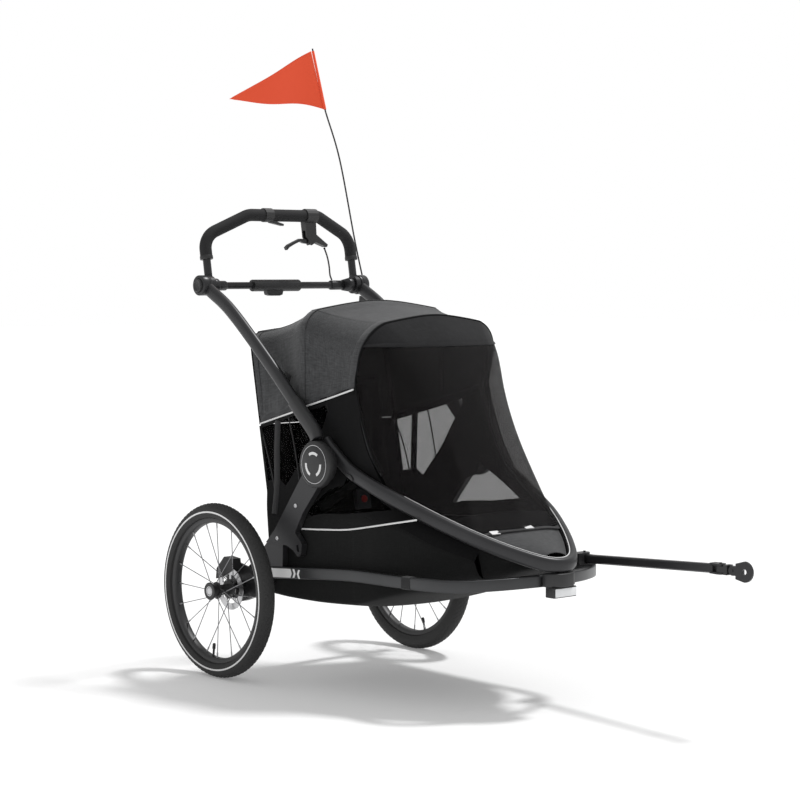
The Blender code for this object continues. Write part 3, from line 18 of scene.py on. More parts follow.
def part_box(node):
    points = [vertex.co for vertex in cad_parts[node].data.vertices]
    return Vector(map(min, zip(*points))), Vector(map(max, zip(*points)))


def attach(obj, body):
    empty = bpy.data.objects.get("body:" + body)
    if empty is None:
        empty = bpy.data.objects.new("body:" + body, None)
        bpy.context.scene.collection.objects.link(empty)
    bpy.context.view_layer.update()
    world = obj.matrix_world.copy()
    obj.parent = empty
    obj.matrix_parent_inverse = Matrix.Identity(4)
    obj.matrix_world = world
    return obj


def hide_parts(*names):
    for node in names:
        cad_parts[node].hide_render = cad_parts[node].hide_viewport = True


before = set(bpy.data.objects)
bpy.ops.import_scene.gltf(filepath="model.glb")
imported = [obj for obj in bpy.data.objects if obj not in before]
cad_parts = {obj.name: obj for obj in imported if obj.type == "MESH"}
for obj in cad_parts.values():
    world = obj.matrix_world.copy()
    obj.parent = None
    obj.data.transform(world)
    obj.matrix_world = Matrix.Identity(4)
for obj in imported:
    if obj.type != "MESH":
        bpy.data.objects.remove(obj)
LOG = logging.getLogger("trailer")
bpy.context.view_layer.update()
AXLE_X = sum(corner.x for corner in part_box("wheel_axle_left")) / 2

Outline = list[tuple[float, float]]
Surface = Callable[[float, float], Vector]
SIDES = ((1, "left"), (-1, "right"))
FORWARD, LEFTWARD, UPWARD = Vector((1, 0, 0)), Vector((0, 1, 0)), Vector((0, 0, 1))

# A plate's edges past SHARP_EDGE are bevelled, a kept node's past SOFT_EDGE, and shading is smooth up to
# SMOOTH_UP_TO.  A sheet fills at least LEAST_CUT_SHARE of the cloth that it is cut from.
SHARP_EDGE = math.radians(40)
SOFT_EDGE = math.radians(35)
SMOOTH_UP_TO = math.radians(38)
WELD = 1e-6
LEAST_CUT_SHARE = 0.31


def at(x: float, y: float, z: float) -> Vector:
    """A place measured from the wheel axle, in the frame's coordinates."""
    return Vector((x + AXLE_X, y, z))


class Axis(Enum):
    """A direction that a plate is thick along, or that a turned piece turns about."""

    X = 0
    Y = 1
    Z = 2


class Slot(Enum):
    """The record's material slots, one named with each new piece."""

    DARK_FABRIC = "dark_fabric"
    FLAG_CLOTH = "flag_cloth"
    FOAM = "foam"
    FRAME_METAL = "frame_metal"
    GREY_FABRIC = "grey_fabric"
    MOULDING = "moulding"
    RAIL_METAL = "rail_metal"
    REFLECTOR = "reflector"
    RIM_METAL = "rim_metal"
    STEEL = "steel"
    TYRE = "tyre"


class Held(Enum):
    """How a sheet is held."""

    HUNG = "hung"
    STRETCHED = "stretched"


# ---------------------------------------------------------------- materials
@dataclass(frozen=True)
class Finish:
    """A surface: colour, gloss, and the fine grain that every finish has.

    Args:
        name: the material's name.
        colour: linear base colour.
        roughness: middle of the surface's roughness.
        metallic: 1 for bare metal.
        grain: size of the fine grain, in metres.
        depth: height of the grain, in metres.
        mottle: how far the colour wanders, as a share.
    """

    name: str
    colour: tuple[float, float, float]
    roughness: float = 0.5
    metallic: float = 0.0
    grain: float = 0.0006
    depth: float = 0.00003
    mottle: float = 0.15

    def material(self) -> bpy.types.Material:
        """Find this finish's material, or make it.

        Returns:
            The material, shared by every piece with this finish.
        """
        found = bpy.data.materials.get(self.name)
        if found:
            return found
        material = bpy.data.materials.new(self.name)
        material.use_nodes = True
        tree = material.node_tree
        shader = tree.nodes["Principled BSDF"]
        shader.inputs["Metallic"].default_value = self.metallic
        self.dress(tree, shader)
        return material

    def dress(self, tree: bpy.types.NodeTree, shader: bpy.types.Node) -> None:
        """Link the patterns to the shader.

        Args:
            tree: the material's nodes.
            shader: its Principled shader.
        """
        place = tree.nodes.new("ShaderNodeTexCoord").outputs["Object"]
        broad = self.noise(tree, place, 9.0, 3.0)
        fine = self.noise(tree, place, 1.0 / self.grain, 2.0)
        tree.links.new(self.tint(tree, broad), shader.inputs["Base Color"])
        tree.links.new(self.spread(tree, broad), shader.inputs["Roughness"])
        tree.links.new(self.bump(tree, fine, self.depth), shader.inputs["Normal"])

    def noise(self, tree: bpy.types.NodeTree, place: bpy.types.NodeSocket, scale: float,
              detail: float) -> bpy.types.NodeSocket:
        """A noise pattern of a scale in turns per metre.

        Args:
            tree: the material's nodes.
            place: the coordinates that it reads.
            scale: its turns per metre.
            detail: octaves of finer noise in it.

        Returns:
            The pattern's output.
        """
        node = tree.nodes.new("ShaderNodeTexNoise")
        node.inputs["Scale"].default_value = scale
        node.inputs["Detail"].default_value = detail
        tree.links.new(place, node.inputs["Vector"])
        return node.outputs["Fac"]

    def tint(self, tree: bpy.types.NodeTree, pattern: bpy.types.NodeSocket) -> bpy.types.NodeSocket:
        """Colour that wanders around the finish's own with a pattern.

        Args:
            tree: the material's nodes.
            pattern: what the colour follows.

        Returns:
            The colour's output.
        """
        ramp = tree.nodes.new("ShaderNodeValToRGB")
        ramp.color_ramp.elements[0].position = 0.3
        ramp.color_ramp.elements[1].position = 0.7
        for element, share in zip(ramp.color_ramp.elements, (1 - self.mottle, 1 + self.mottle)):
            element.color = (*[min(1.0, c * share) for c in self.colour], 1.0)
        tree.links.new(pattern, ramp.inputs["Fac"])
        return ramp.outputs["Color"]

    def spread(self, tree: bpy.types.NodeTree, pattern: bpy.types.NodeSocket) -> bpy.types.NodeSocket:
        """Roughness that wanders with a pattern, as handling leaves it.

        Args:
            tree: the material's nodes.
            pattern: what the roughness follows.

        Returns:
            The roughness's output.
        """
        remap = tree.nodes.new("ShaderNodeMapRange")
        remap.inputs["To Min"].default_value = max(0.05, self.roughness - 0.10)
        remap.inputs["To Max"].default_value = min(1.0, self.roughness + 0.10)
        tree.links.new(pattern, remap.inputs["Value"])
        return remap.outputs["Result"]

    def bump(self, tree: bpy.types.NodeTree, pattern: bpy.types.NodeSocket,
             depth: float) -> bpy.types.NodeSocket:
        """Fine relief of a pattern.

        Args:
            tree: the material's nodes.
            pattern: the relief's height.
            depth: its depth, in metres.

        Returns:
            The normal's output.
        """
        node = tree.nodes.new("ShaderNodeBump")
        node.inputs["Distance"].default_value = depth
        node.inputs["Strength"].default_value = 0.6
        tree.links.new(pattern, node.inputs["Height"])
        return node.outputs["Normal"]


@dataclass(frozen=True)
class Cloth(Finish):
    """Woven fabric that follows its sheet's own map, which is in metres.

    Args:
        thread: width of one thread, in metres.
        fleck: share by which single threads are lighter or darker.
        alpha: how much of what is behind it each of the two faces of the fabric hides.
        sheen: soft light at grazing angles.
    """

    thread: float = 0.0012
    fleck: float = 0.35
    alpha: float = 1.0
    sheen: float = 0.25

    def dress(self, tree: bpy.types.NodeTree, shader: bpy.types.Node) -> None:
        """Link weave, flecks and sheen to the shader.

        Args:
            tree: the material's nodes.
            shader: its Principled shader.
        """
        shader.inputs["Alpha"].default_value = self.alpha
        shader.inputs["Specular IOR Level"].default_value = 0.18
        shader.inputs["Sheen Weight"].default_value = self.sheen
        shader.inputs["Sheen Roughness"].default_value = 0.5
        place = tree.nodes.new("ShaderNodeTexCoord").outputs["UV"]
        flecks = self.streaks(tree, place)
        tree.links.new(self.melange(tree, flecks), shader.inputs["Base Color"])
        tree.links.new(self.spread(tree, flecks), shader.inputs["Roughness"])
        weave = self.weave(tree, place)
        tree.links.new(self.bump(tree, weave, self.depth), shader.inputs["Normal"])

    def streaks(self, tree: bpy.types.NodeTree, place: bpy.types.NodeSocket) -> bpy.types.NodeSocket:
        """Short streaks along both threads' directions.

        Args:
            tree: the material's nodes.
            place: the map that they follow.

        Returns:
            The pattern's output.
        """
        parts = []
        for stretch in ((1.0, 0.12), (0.12, 1.0)):
            mapping = tree.nodes.new("ShaderNodeMapping")
            mapping.inputs["Scale"].default_value = (stretch[0], stretch[1], 1.0)
            tree.links.new(place, mapping.inputs["Vector"])
            parts.append(self.noise(tree, mapping.outputs["Vector"], 0.6 / self.thread, 2.0))
        return self.maths(tree, "ADD", *parts)

    def melange(self, tree: bpy.types.NodeTree, flecks: bpy.types.NodeSocket) -> bpy.types.NodeSocket:
        """Thread colours from dark to light around the cloth's own.

        Args:
            tree: the material's nodes.
            flecks: the pattern of the threads.

        Returns:
            The colour's output.
        """
        ramp = tree.nodes.new("ShaderNodeValToRGB")
        ramp.color_ramp.elements[0].position = 0.36
        ramp.color_ramp.elements[1].position = 0.64
        for element, share in zip(ramp.color_ramp.elements, (1 - self.fleck, 1 + self.fleck)):
            element.color = (*[min(1.0, c * share) for c in self.colour], 1.0)
        half = tree.nodes.new("ShaderNodeMath")
        half.operation = "MULTIPLY"
        half.inputs[1].default_value = 0.5
        tree.links.new(flecks, half.inputs[0])
        tree.links.new(half.outputs["Value"], ramp.inputs["Fac"])
        return ramp.outputs["Color"]

    def weave(self, tree: bpy.types.NodeTree, place: bpy.types.NodeSocket) -> bpy.types.NodeSocket:
        """Threads over and under each other, as two crossed waves.

        Args:
            tree: the material's nodes.
            place: the map that they follow.

        Returns:
            The pattern's output.
        """
        parts = []
        for direction in ("X", "Y"):
            wave = tree.nodes.new("ShaderNodeTexWave")
            wave.bands_direction = direction
            wave.inputs["Scale"].default_value = 1.0 / (self.thread * 2 * math.pi)
            wave.inputs["Distortion"].default_value = 0.4
            tree.links.new(place, wave.inputs["Vector"])
            parts.append(wave.outputs["Fac"])
        return self.maths(tree, "MULTIPLY", *parts)

    def maths(self, tree: bpy.types.NodeTree, operation: str, first: bpy.types.NodeSocket,
              second: bpy.types.NodeSocket) -> bpy.types.NodeSocket:
        """Two values put together by a Math node.

        Args:
            tree: the material's nodes.
            operation: the node's operation.
            first: one value.
            second: the other value.

        Returns:
            The result's output.
        """
        node = tree.nodes.new("ShaderNodeMath")
        node.operation = operation
        tree.links.new(first, node.inputs[0])
        tree.links.new(second, node.inputs[1])
        return node.outputs["Value"]


POWDER = Finish("black_powder_coat", (0.030, 0.030, 0.032), 0.36, 0.35, 0.0009, 0.00002)
MOULDING = Finish("black_moulding", (0.022, 0.022, 0.023), 0.50, 0.0, 0.0007, 0.00005)
SOFT_FOAM = Finish("bar_foam", (0.014, 0.014, 0.015), 0.85, 0.0, 0.0011, 0.00016)
RUBBER = Finish("tyre_rubber", (0.026, 0.026, 0.026), 0.75, 0.0, 0.0012, 0.00008)
RIM = Finish("matte_rim", (0.045, 0.045, 0.046), 0.48, 0.3, 0.0008, 0.00002)
RAIL = Finish("rail_anodised", (0.052, 0.053, 0.055), 0.34, 0.6, 0.0008, 0.00002)
STEEL = Finish("brushed_steel", (0.55, 0.55, 0.56), 0.30, 1.0, 0.0005, 0.00002, 0.08)
SPOKE = Finish("spoke_steel", (0.30, 0.30, 0.31), 0.28, 1.0, 0.0005, 0.00001, 0.08)
WHITE_LINE = Finish("white_line", (0.80, 0.80, 0.80), 0.45, 0.0, 0.0010, 0.00002, 0.05)
REFLECTOR = Finish("reflector_face", (0.78, 0.79, 0.80), 0.12, 0.0, 0.0040, 0.00050, 0.10)
RED = Finish("red_button", (0.22, 0.015, 0.012), 0.35)
CANOPY_CLOTH = Cloth("grey_melange", (0.050, 0.051, 0.053), 0.88, 0.0, depth=0.0003, thread=0.0016,
                     fleck=0.40)
VISOR_CLOTH = Cloth("visor_cloth", (0.016, 0.016, 0.017), 0.88, 0.0, depth=0.0002, fleck=0.25, sheen=0.08)
SIDE_CLOTH = Cloth("black_side_cloth", (0.0058, 0.0058, 0.0062), 0.90, 0.0, depth=0.0003, fleck=0.3,
                   sheen=0.03)
BELLY_CLOTH = Cloth("belly_cloth", (0.0068, 0.0070, 0.0070), 0.85, 0.0, depth=0.0003, thread=0.0015,
                    fleck=0.3, sheen=0.04)
SCREEN_NET = Cloth("sheer_screen", (0.0095, 0.0085, 0.0088), 0.8, 0.0, depth=0.0002, thread=0.0009,
                   fleck=0.3, alpha=0.55, sheen=0.05)
WINDOW_NET = Cloth("window_net", (0.010, 0.010, 0.010), 0.8, 0.0, depth=0.0002, thread=0.0012,
                   fleck=0.3, alpha=0.12, sheen=0.05)
SEAT_CLOTH = Cloth("seat_cloth", (0.006, 0.006, 0.0065), 0.9, 0.0, depth=0.0004, thread=0.0018,
                   fleck=0.35, sheen=0.1)
WEBBING = Cloth("webbing", (0.012, 0.012, 0.013), 0.75, 0.0, depth=0.0004, thread=0.0010, fleck=0.2)
FLAG_CLOTH = Cloth("flag_cloth", (0.86, 0.075, 0.028), 0.65, 0.0, depth=0.0001, thread=0.0008,
                   fleck=0.06, sheen=0.1)


# ---------------------------------------------------------------- lines and outlines
def curve_point(points: Sequence[Vector], t: float) -> Vector:
    """A point on the smooth curve through some points.

    Args:
        points: at least two points, evenly spaced in t.
        t: 0 at the first point and 1 at the last.

    Returns:
        The point on the curve.
    """
    last = len(points) - 1
    i = min(int(t * last), last - 1)
    t = t * last - i
    start, end = points[i], points[i + 1]
    before = points[i - 1] if i > 0 else 2 * start - end
    after = points[i + 2] if i + 2 <= last else 2 * end - start
    return (start + (end - before) * (t / 2) + (2 * before - 5 * start + 4 * end - after) * (t * t / 2)
            + (3 * start - before - 3 * end + after) * (t * t * t / 2))


def smooth_line(points: Iterable[Vector], steps: int) -> list[Vector]:
    """A smooth line through points, with some steps in each interval.

    Args:
        points: what the line goes through.
        steps: steps between two points.

    Returns:
        The line's points.
    """
    points = list(points)
    count = (len(points) - 1) * steps
    return [curve_point(points, i / count) for i in range(count + 1)]


def rounded_line(corners: Sequence[Vector], radius: float, steps: int) -> list[Vector]:
    """A line of straight runs with round corners.

    Args:
        corners: the line's ends, with its corners between them.
        radius: of the round corners.
        steps: of each corner.

    Returns:
        The line's points.
    """
    line = [corners[0]]
    for before, corner, after in zip(corners, corners[1:], corners[2:]):
        back, onward = (before - corner).normalized(), (after - corner).normalized()
        half = back.angle(onward) / 2
        middle = corner + (back + onward).normalized() * (radius / math.sin(half))
        first = (corner + back * (radius / math.tan(half)) - middle).normalized()
        last = (corner + onward * (radius / math.tan(half)) - middle).normalized()
        line += [middle + first.slerp(last, i / steps) * radius for i in range(steps + 1)]
    line.append(corners[-1])
    return line


def mirrored(points: Sequence[Vector]) -> list[Vector]:
    """A left-hand line that ends near the middle plane, carried on down the right side."""
    other = [Vector((p.x, -p.y, p.z)) for p in reversed(points)]
    return list(points) + (other[1:] if abs(points[-1].y) < 1e-6 else other)


def arc(centre: tuple[float, float], radius: float, start: float, end: float, steps: int) -> Outline:
    """Points on an arc, with its angles in degrees."""
    angles = [math.radians(start + (end - start) * i / steps) for i in range(steps + 1)]
    return [(centre[0] + radius * math.cos(a), centre[1] + radius * math.sin(a)) for a in angles]


def round_outline(radius: float, steps: int = 20) -> Outline:
    """A circle as an outline."""
    return arc((0, 0), radius, 0, 360 - 360 / steps, steps - 1)


def stadium(width: float, height: float, steps: int = 8) -> Outline:
    """An upright outline with round ends."""
    reach = (height - width) / 2
    return arc((0, reach), width / 2, 0, 180, steps) + arc((0, -reach), width / 2, 180, 360, steps)


# ---------------------------------------------------------------- making meshes
def carried(line: Sequence[Vector], outline: Outline, up: Vector,
            swell: Callable[[float], float] | None = None) -> bmesh.types.BMesh:
    """Extrude an outline along a line.

    Args:
        line: points that the outline's middle follows.
        outline: its (across, up) points.
        up: direction that stays up along the line.
        swell: size of the outline at a share of the line.

    Returns:
        A closed mesh.
    """
    bm = bmesh.new()
    places = []
    for i, point in enumerate(line):
        ahead = (line[min(i + 1, len(line) - 1)] - line[max(i - 1, 0)]).normalized()
        side = ahead.cross(up).normalized()
        rise = side.cross(ahead)
        place = Matrix((side, rise, ahead)).transposed().to_4x4()
        place.translation = point
        size = swell(i / (len(line) - 1)) if swell else 1.0
        places.append(place @ Matrix.Diagonal((size, size, 1.0, 1.0)))
    ring = [bm.verts.new(places[0] @ Vector((u, v, 0.0))) for u, v in outline]
    edges = [bm.edges.new((a, b)) for a, b in zip(ring, ring[1:] + ring[:1])]
    for before, after in zip(places, places[1:]):
        made = bmesh.ops.extrude_edge_only(bm, edges=edges)["geom"]
        ring = [item for item in made if isinstance(item, bmesh.types.BMVert)]
        edges = [item for item in made if isinstance(item, bmesh.types.BMEdge)
                 and all(vert in ring for vert in item.verts)]
        bmesh.ops.transform(bm, matrix=after @ before.inverted(), verts=ring)
    rims = [edge for edge in bm.edges if edge.is_boundary]
    bmesh.ops.holes_fill(bm, edges=rims, sides=0)
    return bm


def turned(profile: Outline, centre: Vector, axis: Vector, steps: int = 64) -> bmesh.types.BMesh:
    """Spin a closed (radius, along) profile about an axis through a centre.

    Args:
        profile: the closed outline.
        centre: where along is 0.
        axis: direction that along runs in.
        steps: steps of the full turn.

    Returns:
        A closed mesh.
    """
    bm = bmesh.new()
    out = axis.orthogonal().normalized()
    ring = [bm.verts.new(centre + out * r + axis * u) for r, u in profile]
    edges = [bm.edges.new((a, b)) for a, b in zip(ring, ring[1:] + ring[:1])]
    bmesh.ops.spin(bm, geom=ring + edges, cent=centre, axis=axis, dvec=(0, 0, 0),
                   angle=2 * math.pi, steps=steps, use_merge=True, use_duplicate=False)
    bmesh.ops.remove_doubles(bm, verts=bm.verts, dist=WELD)
    return bm


def plate(outline: Outline, low: float, high: float, axis: Axis, bevel: float,
          steps: int = 2) -> bmesh.types.BMesh:
    """Extrude a flat outline to a thickness and bevel its edges.

    Args:
        outline: points in the plane, as (x, z), (y, z) or (x, y), from the wheel axle.
        low: where the thickness starts.
        high: where it ends.
        axis: direction of the thickness.
        bevel: width of the bevel.
        steps: its segments.

    Returns:
        A closed mesh.
    """
    bm = bmesh.new()
    spots = {
        Axis.X: lambda a, b: at(low, a, b),
        Axis.Y: lambda a, b: at(a, low, b),
        Axis.Z: lambda a, b: at(a, b, low),
    }
    face = bm.faces.new([bm.verts.new(spots[axis](a, b)) for a, b in outline])
    made = bmesh.ops.extrude_face_region(bm, geom=[face])["geom"]
    shift = Vector((0, 0, 0))
    shift[axis.value] = high - low
    bmesh.ops.translate(bm, vec=shift, verts=[v for v in made if isinstance(v, bmesh.types.BMVert)])
    bmesh.ops.recalc_face_normals(bm, faces=bm.faces)
    sharp = [edge for edge in bm.edges if edge.calc_face_angle(0.0) > SHARP_EDGE]
    if bevel:
        bmesh.ops.bevel(bm, geom=sharp, offset=bevel, offset_type="OFFSET", segments=steps,
                        profile=0.5, affect="EDGES", clamp_overlap=True, material=-1)
    return bm


def block(low: Vector, high: Vector, bevel: float) -> bmesh.types.BMesh:
    """A bevelled block between two corners, measured from the wheel axle."""
    outline = [(low.x, low.z), (high.x, low.z), (high.x, high.z), (low.x, high.z)]
    return plate(outline, low.y, high.y, Axis.Y, bevel)


def draped(shape: Surface, across: int, along: int) -> bmesh.types.BMesh:
    """Lay a grid on a surface and give it a map in metres.

    Args:
        shape: the surface, for two shares from 0 to 1.
        across: the grid's steps for the first share.
        along: its steps for the second.

    Returns:
        An open mesh.
    """
    bm = bmesh.new()
    bm.loops.layers.uv.new("UVMap")
    bmesh.ops.create_grid(bm, x_segments=across, y_segments=along, size=0.5, calc_uvs=True)
    for vert in bm.verts:
        vert.co = shape(min(1.0, max(0.0, vert.co.x + 0.5)), min(1.0, max(0.0, vert.co.y + 0.5)))
    wide = sum((shape((i + 1) / 12, 0.5) - shape(i / 12, 0.5)).length for i in range(12))
    long = sum((shape(0.5, (i + 1) / 12) - shape(0.5, i / 12)).length for i in range(12))
    layer = bm.loops.layers.uv.active
    for face in bm.faces:
        for loop in face.loops:
            loop[layer].uv = (loop[layer].uv.x * wide, loop[layer].uv.y * long)
    return bm


def loft(rows: Sequence[Sequence[Vector]]) -> Surface:
    """The smooth surface through rows of points.

    Args:
        rows: lines of as many points each.

    Returns:
        The surface.
    """

    def shape(u: float, v: float) -> Vector:
        """A point at a share across the rows and along them."""
        return curve_point([curve_point(row, v) for row in rows], u)

    return shape


def joined(parts: Iterable[bmesh.types.BMesh]) -> bmesh.types.BMesh:
    """Several meshes as one.

    Args:
        parts: the meshes, which are used up.

    Returns:
        The joined mesh.
    """
    whole = bmesh.new()
    for part in parts:
        mesh = bpy.data.meshes.new("part")
        part.to_mesh(mesh)
        whole.from_mesh(mesh)
        part.free()
        bpy.data.meshes.remove(mesh)
    return whole


def cut_sheet(piece: bpy.types.Object, held: Held) -> None:
    """Work out a sheet's flat size from its map in metres, and log it.

    Args:
        piece: the sheet.
        held: how it is held; not used.
    """
    spots = [loop.uv for loop in piece.data.uv_layers.active.data]
    width = max(uv.x for uv in spots) - min(uv.x for uv in spots)
    length = max(uv.y for uv in spots) - min(uv.y for uv in spots)
    area = sum(face.area for face in piece.data.polygons)
    length = min(max(length, area / width), area / (LEAST_CUT_SHARE * width))
    LOG.debug("%s: cut %.3f x %.3f m, area %.4f", piece.name, width, length, area)


def lay_out(bm: bmesh.types.BMesh) -> None:
    """Give each face a map in metres, seen along its own main direction.

    Args:
        bm: the mesh.
    """
    layer = bm.loops.layers.uv.new("UVMap")
    for face in bm.faces:
        size = [abs(share) for share in face.normal]
        flat = [i for i in range(3) if i != size.index(max(size))]
        for loop in face.loops:
            loop[layer].uv = (loop.vert.co[flat[0]], loop.vert.co[flat[1]])


def make(bm: bmesh.types.BMesh, name: str, finish: Finish, body: str, slot: Slot,
         replaces: Sequence[str] = (), thick: float = 0.0, closed: bool = True) -> bpy.types.Object:
    """Turn a mesh into a piece that rides on a body.

    Args:
        bm: the mesh, which is used up.
        name: the piece's name.
        finish: its surface.
        body: the body that it moves with.
        slot: the record's material slot; not used.
        replaces: nodes that it stands for.
        thick: wall that Solidify gives an open sheet.
        closed: whether the mesh is a closed shell.

    Returns:
        The piece.
    """
    if closed:
        bmesh.ops.remove_doubles(bm, verts=bm.verts, dist=WELD)
    bmesh.ops.recalc_face_normals(bm, faces=bm.faces)
    if isinstance(finish, Cloth) and not bm.loops.layers.uv:
        lay_out(bm)
    mesh = bpy.data.meshes.new(name)
    bm.to_mesh(mesh)
    bm.free()
    mesh.shade_smooth()
    mesh.set_sharp_from_angle(angle=SMOOTH_UP_TO)
    piece = bpy.data.objects.new(name, mesh)
    bpy.context.scene.collection.objects.link(piece)
    mesh.materials.append(finish.material())
    if thick:
        wall = piece.modifiers.new("wall", "SOLIDIFY")
        wall.thickness = thick
        wall.offset = 0.0
    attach(piece, body)
    if replaces:
        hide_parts(*replaces)
    LOG.info("%s: %d faces on %s", name, len(mesh.polygons), body)
    return piece


# ---------------------------------------------------------------- wheels
@dataclass
class Wheel:
    """One spoked wheel: tyre with tread and white line, rim, laced hub and valve.

    Args:
        side: 1 on the left and -1 on the right.
        label: the side's name.
        radius: outer radius of the tyre.
        tyre_half: half the tyre's width.
        rim_outer: the rim's outer radius.
        rim_inner: its inner radius.
        rim_half: half its width.
        spokes: spokes in the wheel.
        spoke_lean: how far each leans, in degrees.
        spoke_radius: a spoke's radius.
        nipple_radius: a nipple's radius.
        knobs: knobs in one row.
        knob_rows: where the rows stand on the tyre's section, in degrees.
        knob_size: a knob across, along and high.
        tread_edge: where the tread ends on the section, in degrees.
        tread_sink: how far the carcass lies below the tread's face.
        line_angles: where the white line lies on the section, in degrees.
    """

    side: int
    label: str
    radius: float = 0.215
    tyre_half: float = 0.0214
    rim_outer: float = 0.1783
    rim_inner: float = 0.1665
    rim_half: float = 0.0124
    spokes: int = 20
    spoke_lean: float = 38
    spoke_radius: float = 0.0011
    nipple_radius: float = 0.0019
    knobs: int = 84
    knob_rows: tuple[float, ...] = (-44, -29, -14, 0, 14, 29, 44)
    knob_size: tuple[float, float, float] = (0.0098, 0.0040, 0.0016)
    tread_edge: float = 52
    tread_sink: float = 0.0009
    line_angles: tuple[float, ...] = (84, 87.5, 91, 94.5)

    def __post_init__(self) -> None:
        """Find the wheel's middle and the way out of it."""
        low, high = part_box(f"tyre_{self.label}")
        self.middle = (low + high) / 2
        self.middle.z = self.radius
        self.out = Vector((0, self.side, 0))
        self.body = f"wheel_{self.label}"
        self.crown = self.radius - self.tyre_half
        self.valve_turn = math.radians(285.5 if self.side > 0 else 263)

    def build(self) -> None:
        """Make the wheel's pieces."""
        self.tyre()
        self.tread()
        self.lines()
        self.rim()
        self.hub()
        self.lacing()
        self.valve()

    def tyre(self) -> None:
        """Carcass with a shoulder step and a bead at the rim."""
        section = arc((self.crown, 0), self.tyre_half, -128, 128, 40)
        section += [(self.rim_outer + 0.0005, 0.0102), (self.rim_outer - 0.001, 0.0075)]
        section += [(self.rim_outer - 0.001, -0.0075), (self.rim_outer + 0.0005, -0.0102)]
        shaped = []
        for r, u in section:
            angle = math.atan2(u, r - self.crown)
            sink = self.tread_sink if abs(math.degrees(angle)) < self.tread_edge else 0.0
            shaped.append((r - sink * math.cos(angle), u - sink * math.sin(angle)))
        bm = turned(shaped, self.middle, self.out, 144)
        make(bm, f"tyre_carcass_{self.label}", RUBBER, self.body, Slot.TYRE,
             (f"tyre_{self.label}", f"inner_tube_{self.label}"))

    def tread(self) -> None:
        """Rows of small knobs around the crown, every second row half a step on."""
        knobs = []
        size = Matrix.Diagonal((*self.knob_size, 1.0))
        for row, angle in enumerate(self.knob_rows):
            lean = math.radians(angle)
            for i in range(self.knobs):
                turn = 2 * math.pi * (i + 0.5 * (row % 2)) / self.knobs
                bm = bmesh.new()
                bmesh.ops.create_cube(bm, size=1.0)
                top = [v for v in bm.verts if v.co.z > 0]
                bmesh.ops.scale(bm, vec=(0.72, 0.72, 1.0), verts=top)
                place = (Matrix.Translation(self.middle) @ Matrix.Rotation(turn, 4, "Y")
                         @ Matrix.Translation((0, 0, self.crown)) @ Matrix.Rotation(-lean, 4, "X")
                         @ Matrix.Translation((0, 0, self.tyre_half - self.tread_sink)) @ size)
                bmesh.ops.transform(bm, matrix=place, verts=bm.verts)
                knobs.append(bm)
        make(joined(knobs), f"tread_{self.label}", RUBBER, self.body, Slot.TYRE, closed=False)

    def lines(self) -> None:
        """White line on the outer sidewall."""
        rise = [(self.crown + self.tyre_half * math.cos(a), self.tyre_half * math.sin(a))
                for a in map(math.radians, self.line_angles)]
        band = [(r, u + 0.0003) for r, u in rise] + [(r, u - 0.0006) for r, u in reversed(rise)]
        make(turned(band, self.middle, self.out, 128), f"tyre_line_{self.label}", WHITE_LINE, self.body,
             Slot.TYRE)

    def rim(self) -> None:
        """Box-section rim with round shoulders and a shallow middle channel."""
        half, outer, inner = self.rim_half, self.rim_outer, self.rim_inner
        section = [(outer, -half), (outer - 0.004, -half)]
        section += [(inner + 0.0035, -half + 0.0008), (inner + 0.0008, -half + 0.0034)]
        section += [(inner, -0.0040), (inner - 0.0003, 0.0), (inner, 0.0040)]
        section += [(inner + 0.0008, half - 0.0034), (inner + 0.0035, half - 0.0008)]
        section += [(outer - 0.004, half), (outer, half), (outer, half - 0.0016)]
        section += [(outer - 0.0032, half - 0.0018)]
        section += [(outer - 0.0032, -half + 0.0018), (outer, -half + 0.0016)]
        make(turned(section, self.middle, self.out, 144), f"rim_shell_{self.label}", RIM, self.body,
             Slot.RIM_METAL, (f"rim_{self.label}",))

    def hub(self) -> None:
        """Barrel, two spoke flanges and the outer cap with its bright button ring."""
        low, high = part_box(f"hub_{self.label}")
        inner_end = min(abs(low.y), abs(high.y)) - abs(self.middle.y)
        profile = [(0.0082, inner_end), (0.0140, inner_end), (0.0145, inner_end + 0.0006)]
        profile += [(0.0145, -0.0352), (0.0225, -0.0350), (0.0240, -0.0340), (0.0240, -0.0322)]
        profile += [(0.0225, -0.0312), (0.0145, -0.0305), (0.0128, -0.0270), (0.0125, -0.0060)]
        profile += [(0.0142, 0.0010), (0.0200, 0.0020), (0.0210, 0.0028), (0.0210, 0.0046)]
        profile += [(0.0200, 0.0054), (0.0145, 0.0060), (0.0140, 0.0195), (0.0150, 0.0208)]
        profile += [(0.0205, 0.0212), (0.0215, 0.0222), (0.0215, 0.0256), (0.0205, 0.0268)]
        profile += [(0.0125, 0.0270), (0.0110, 0.0262), (0.0096, 0.0262), (0.0096, 0.0160), (0.0082, 0.0160)]
        make(turned(profile, self.middle, self.out, 48), f"hub_shell_{self.label}", MOULDING, self.body,
             Slot.RIM_METAL, (f"hub_{self.label}",))
        ring = [(0.0097, 0.0257), (0.0112, 0.0264), (0.0122, 0.0268), (0.0112, 0.0272), (0.0097, 0.0268)]
        make(turned(ring, self.middle, self.out, 40), f"hub_ring_{self.label}", STEEL, self.body, Slot.STEEL)

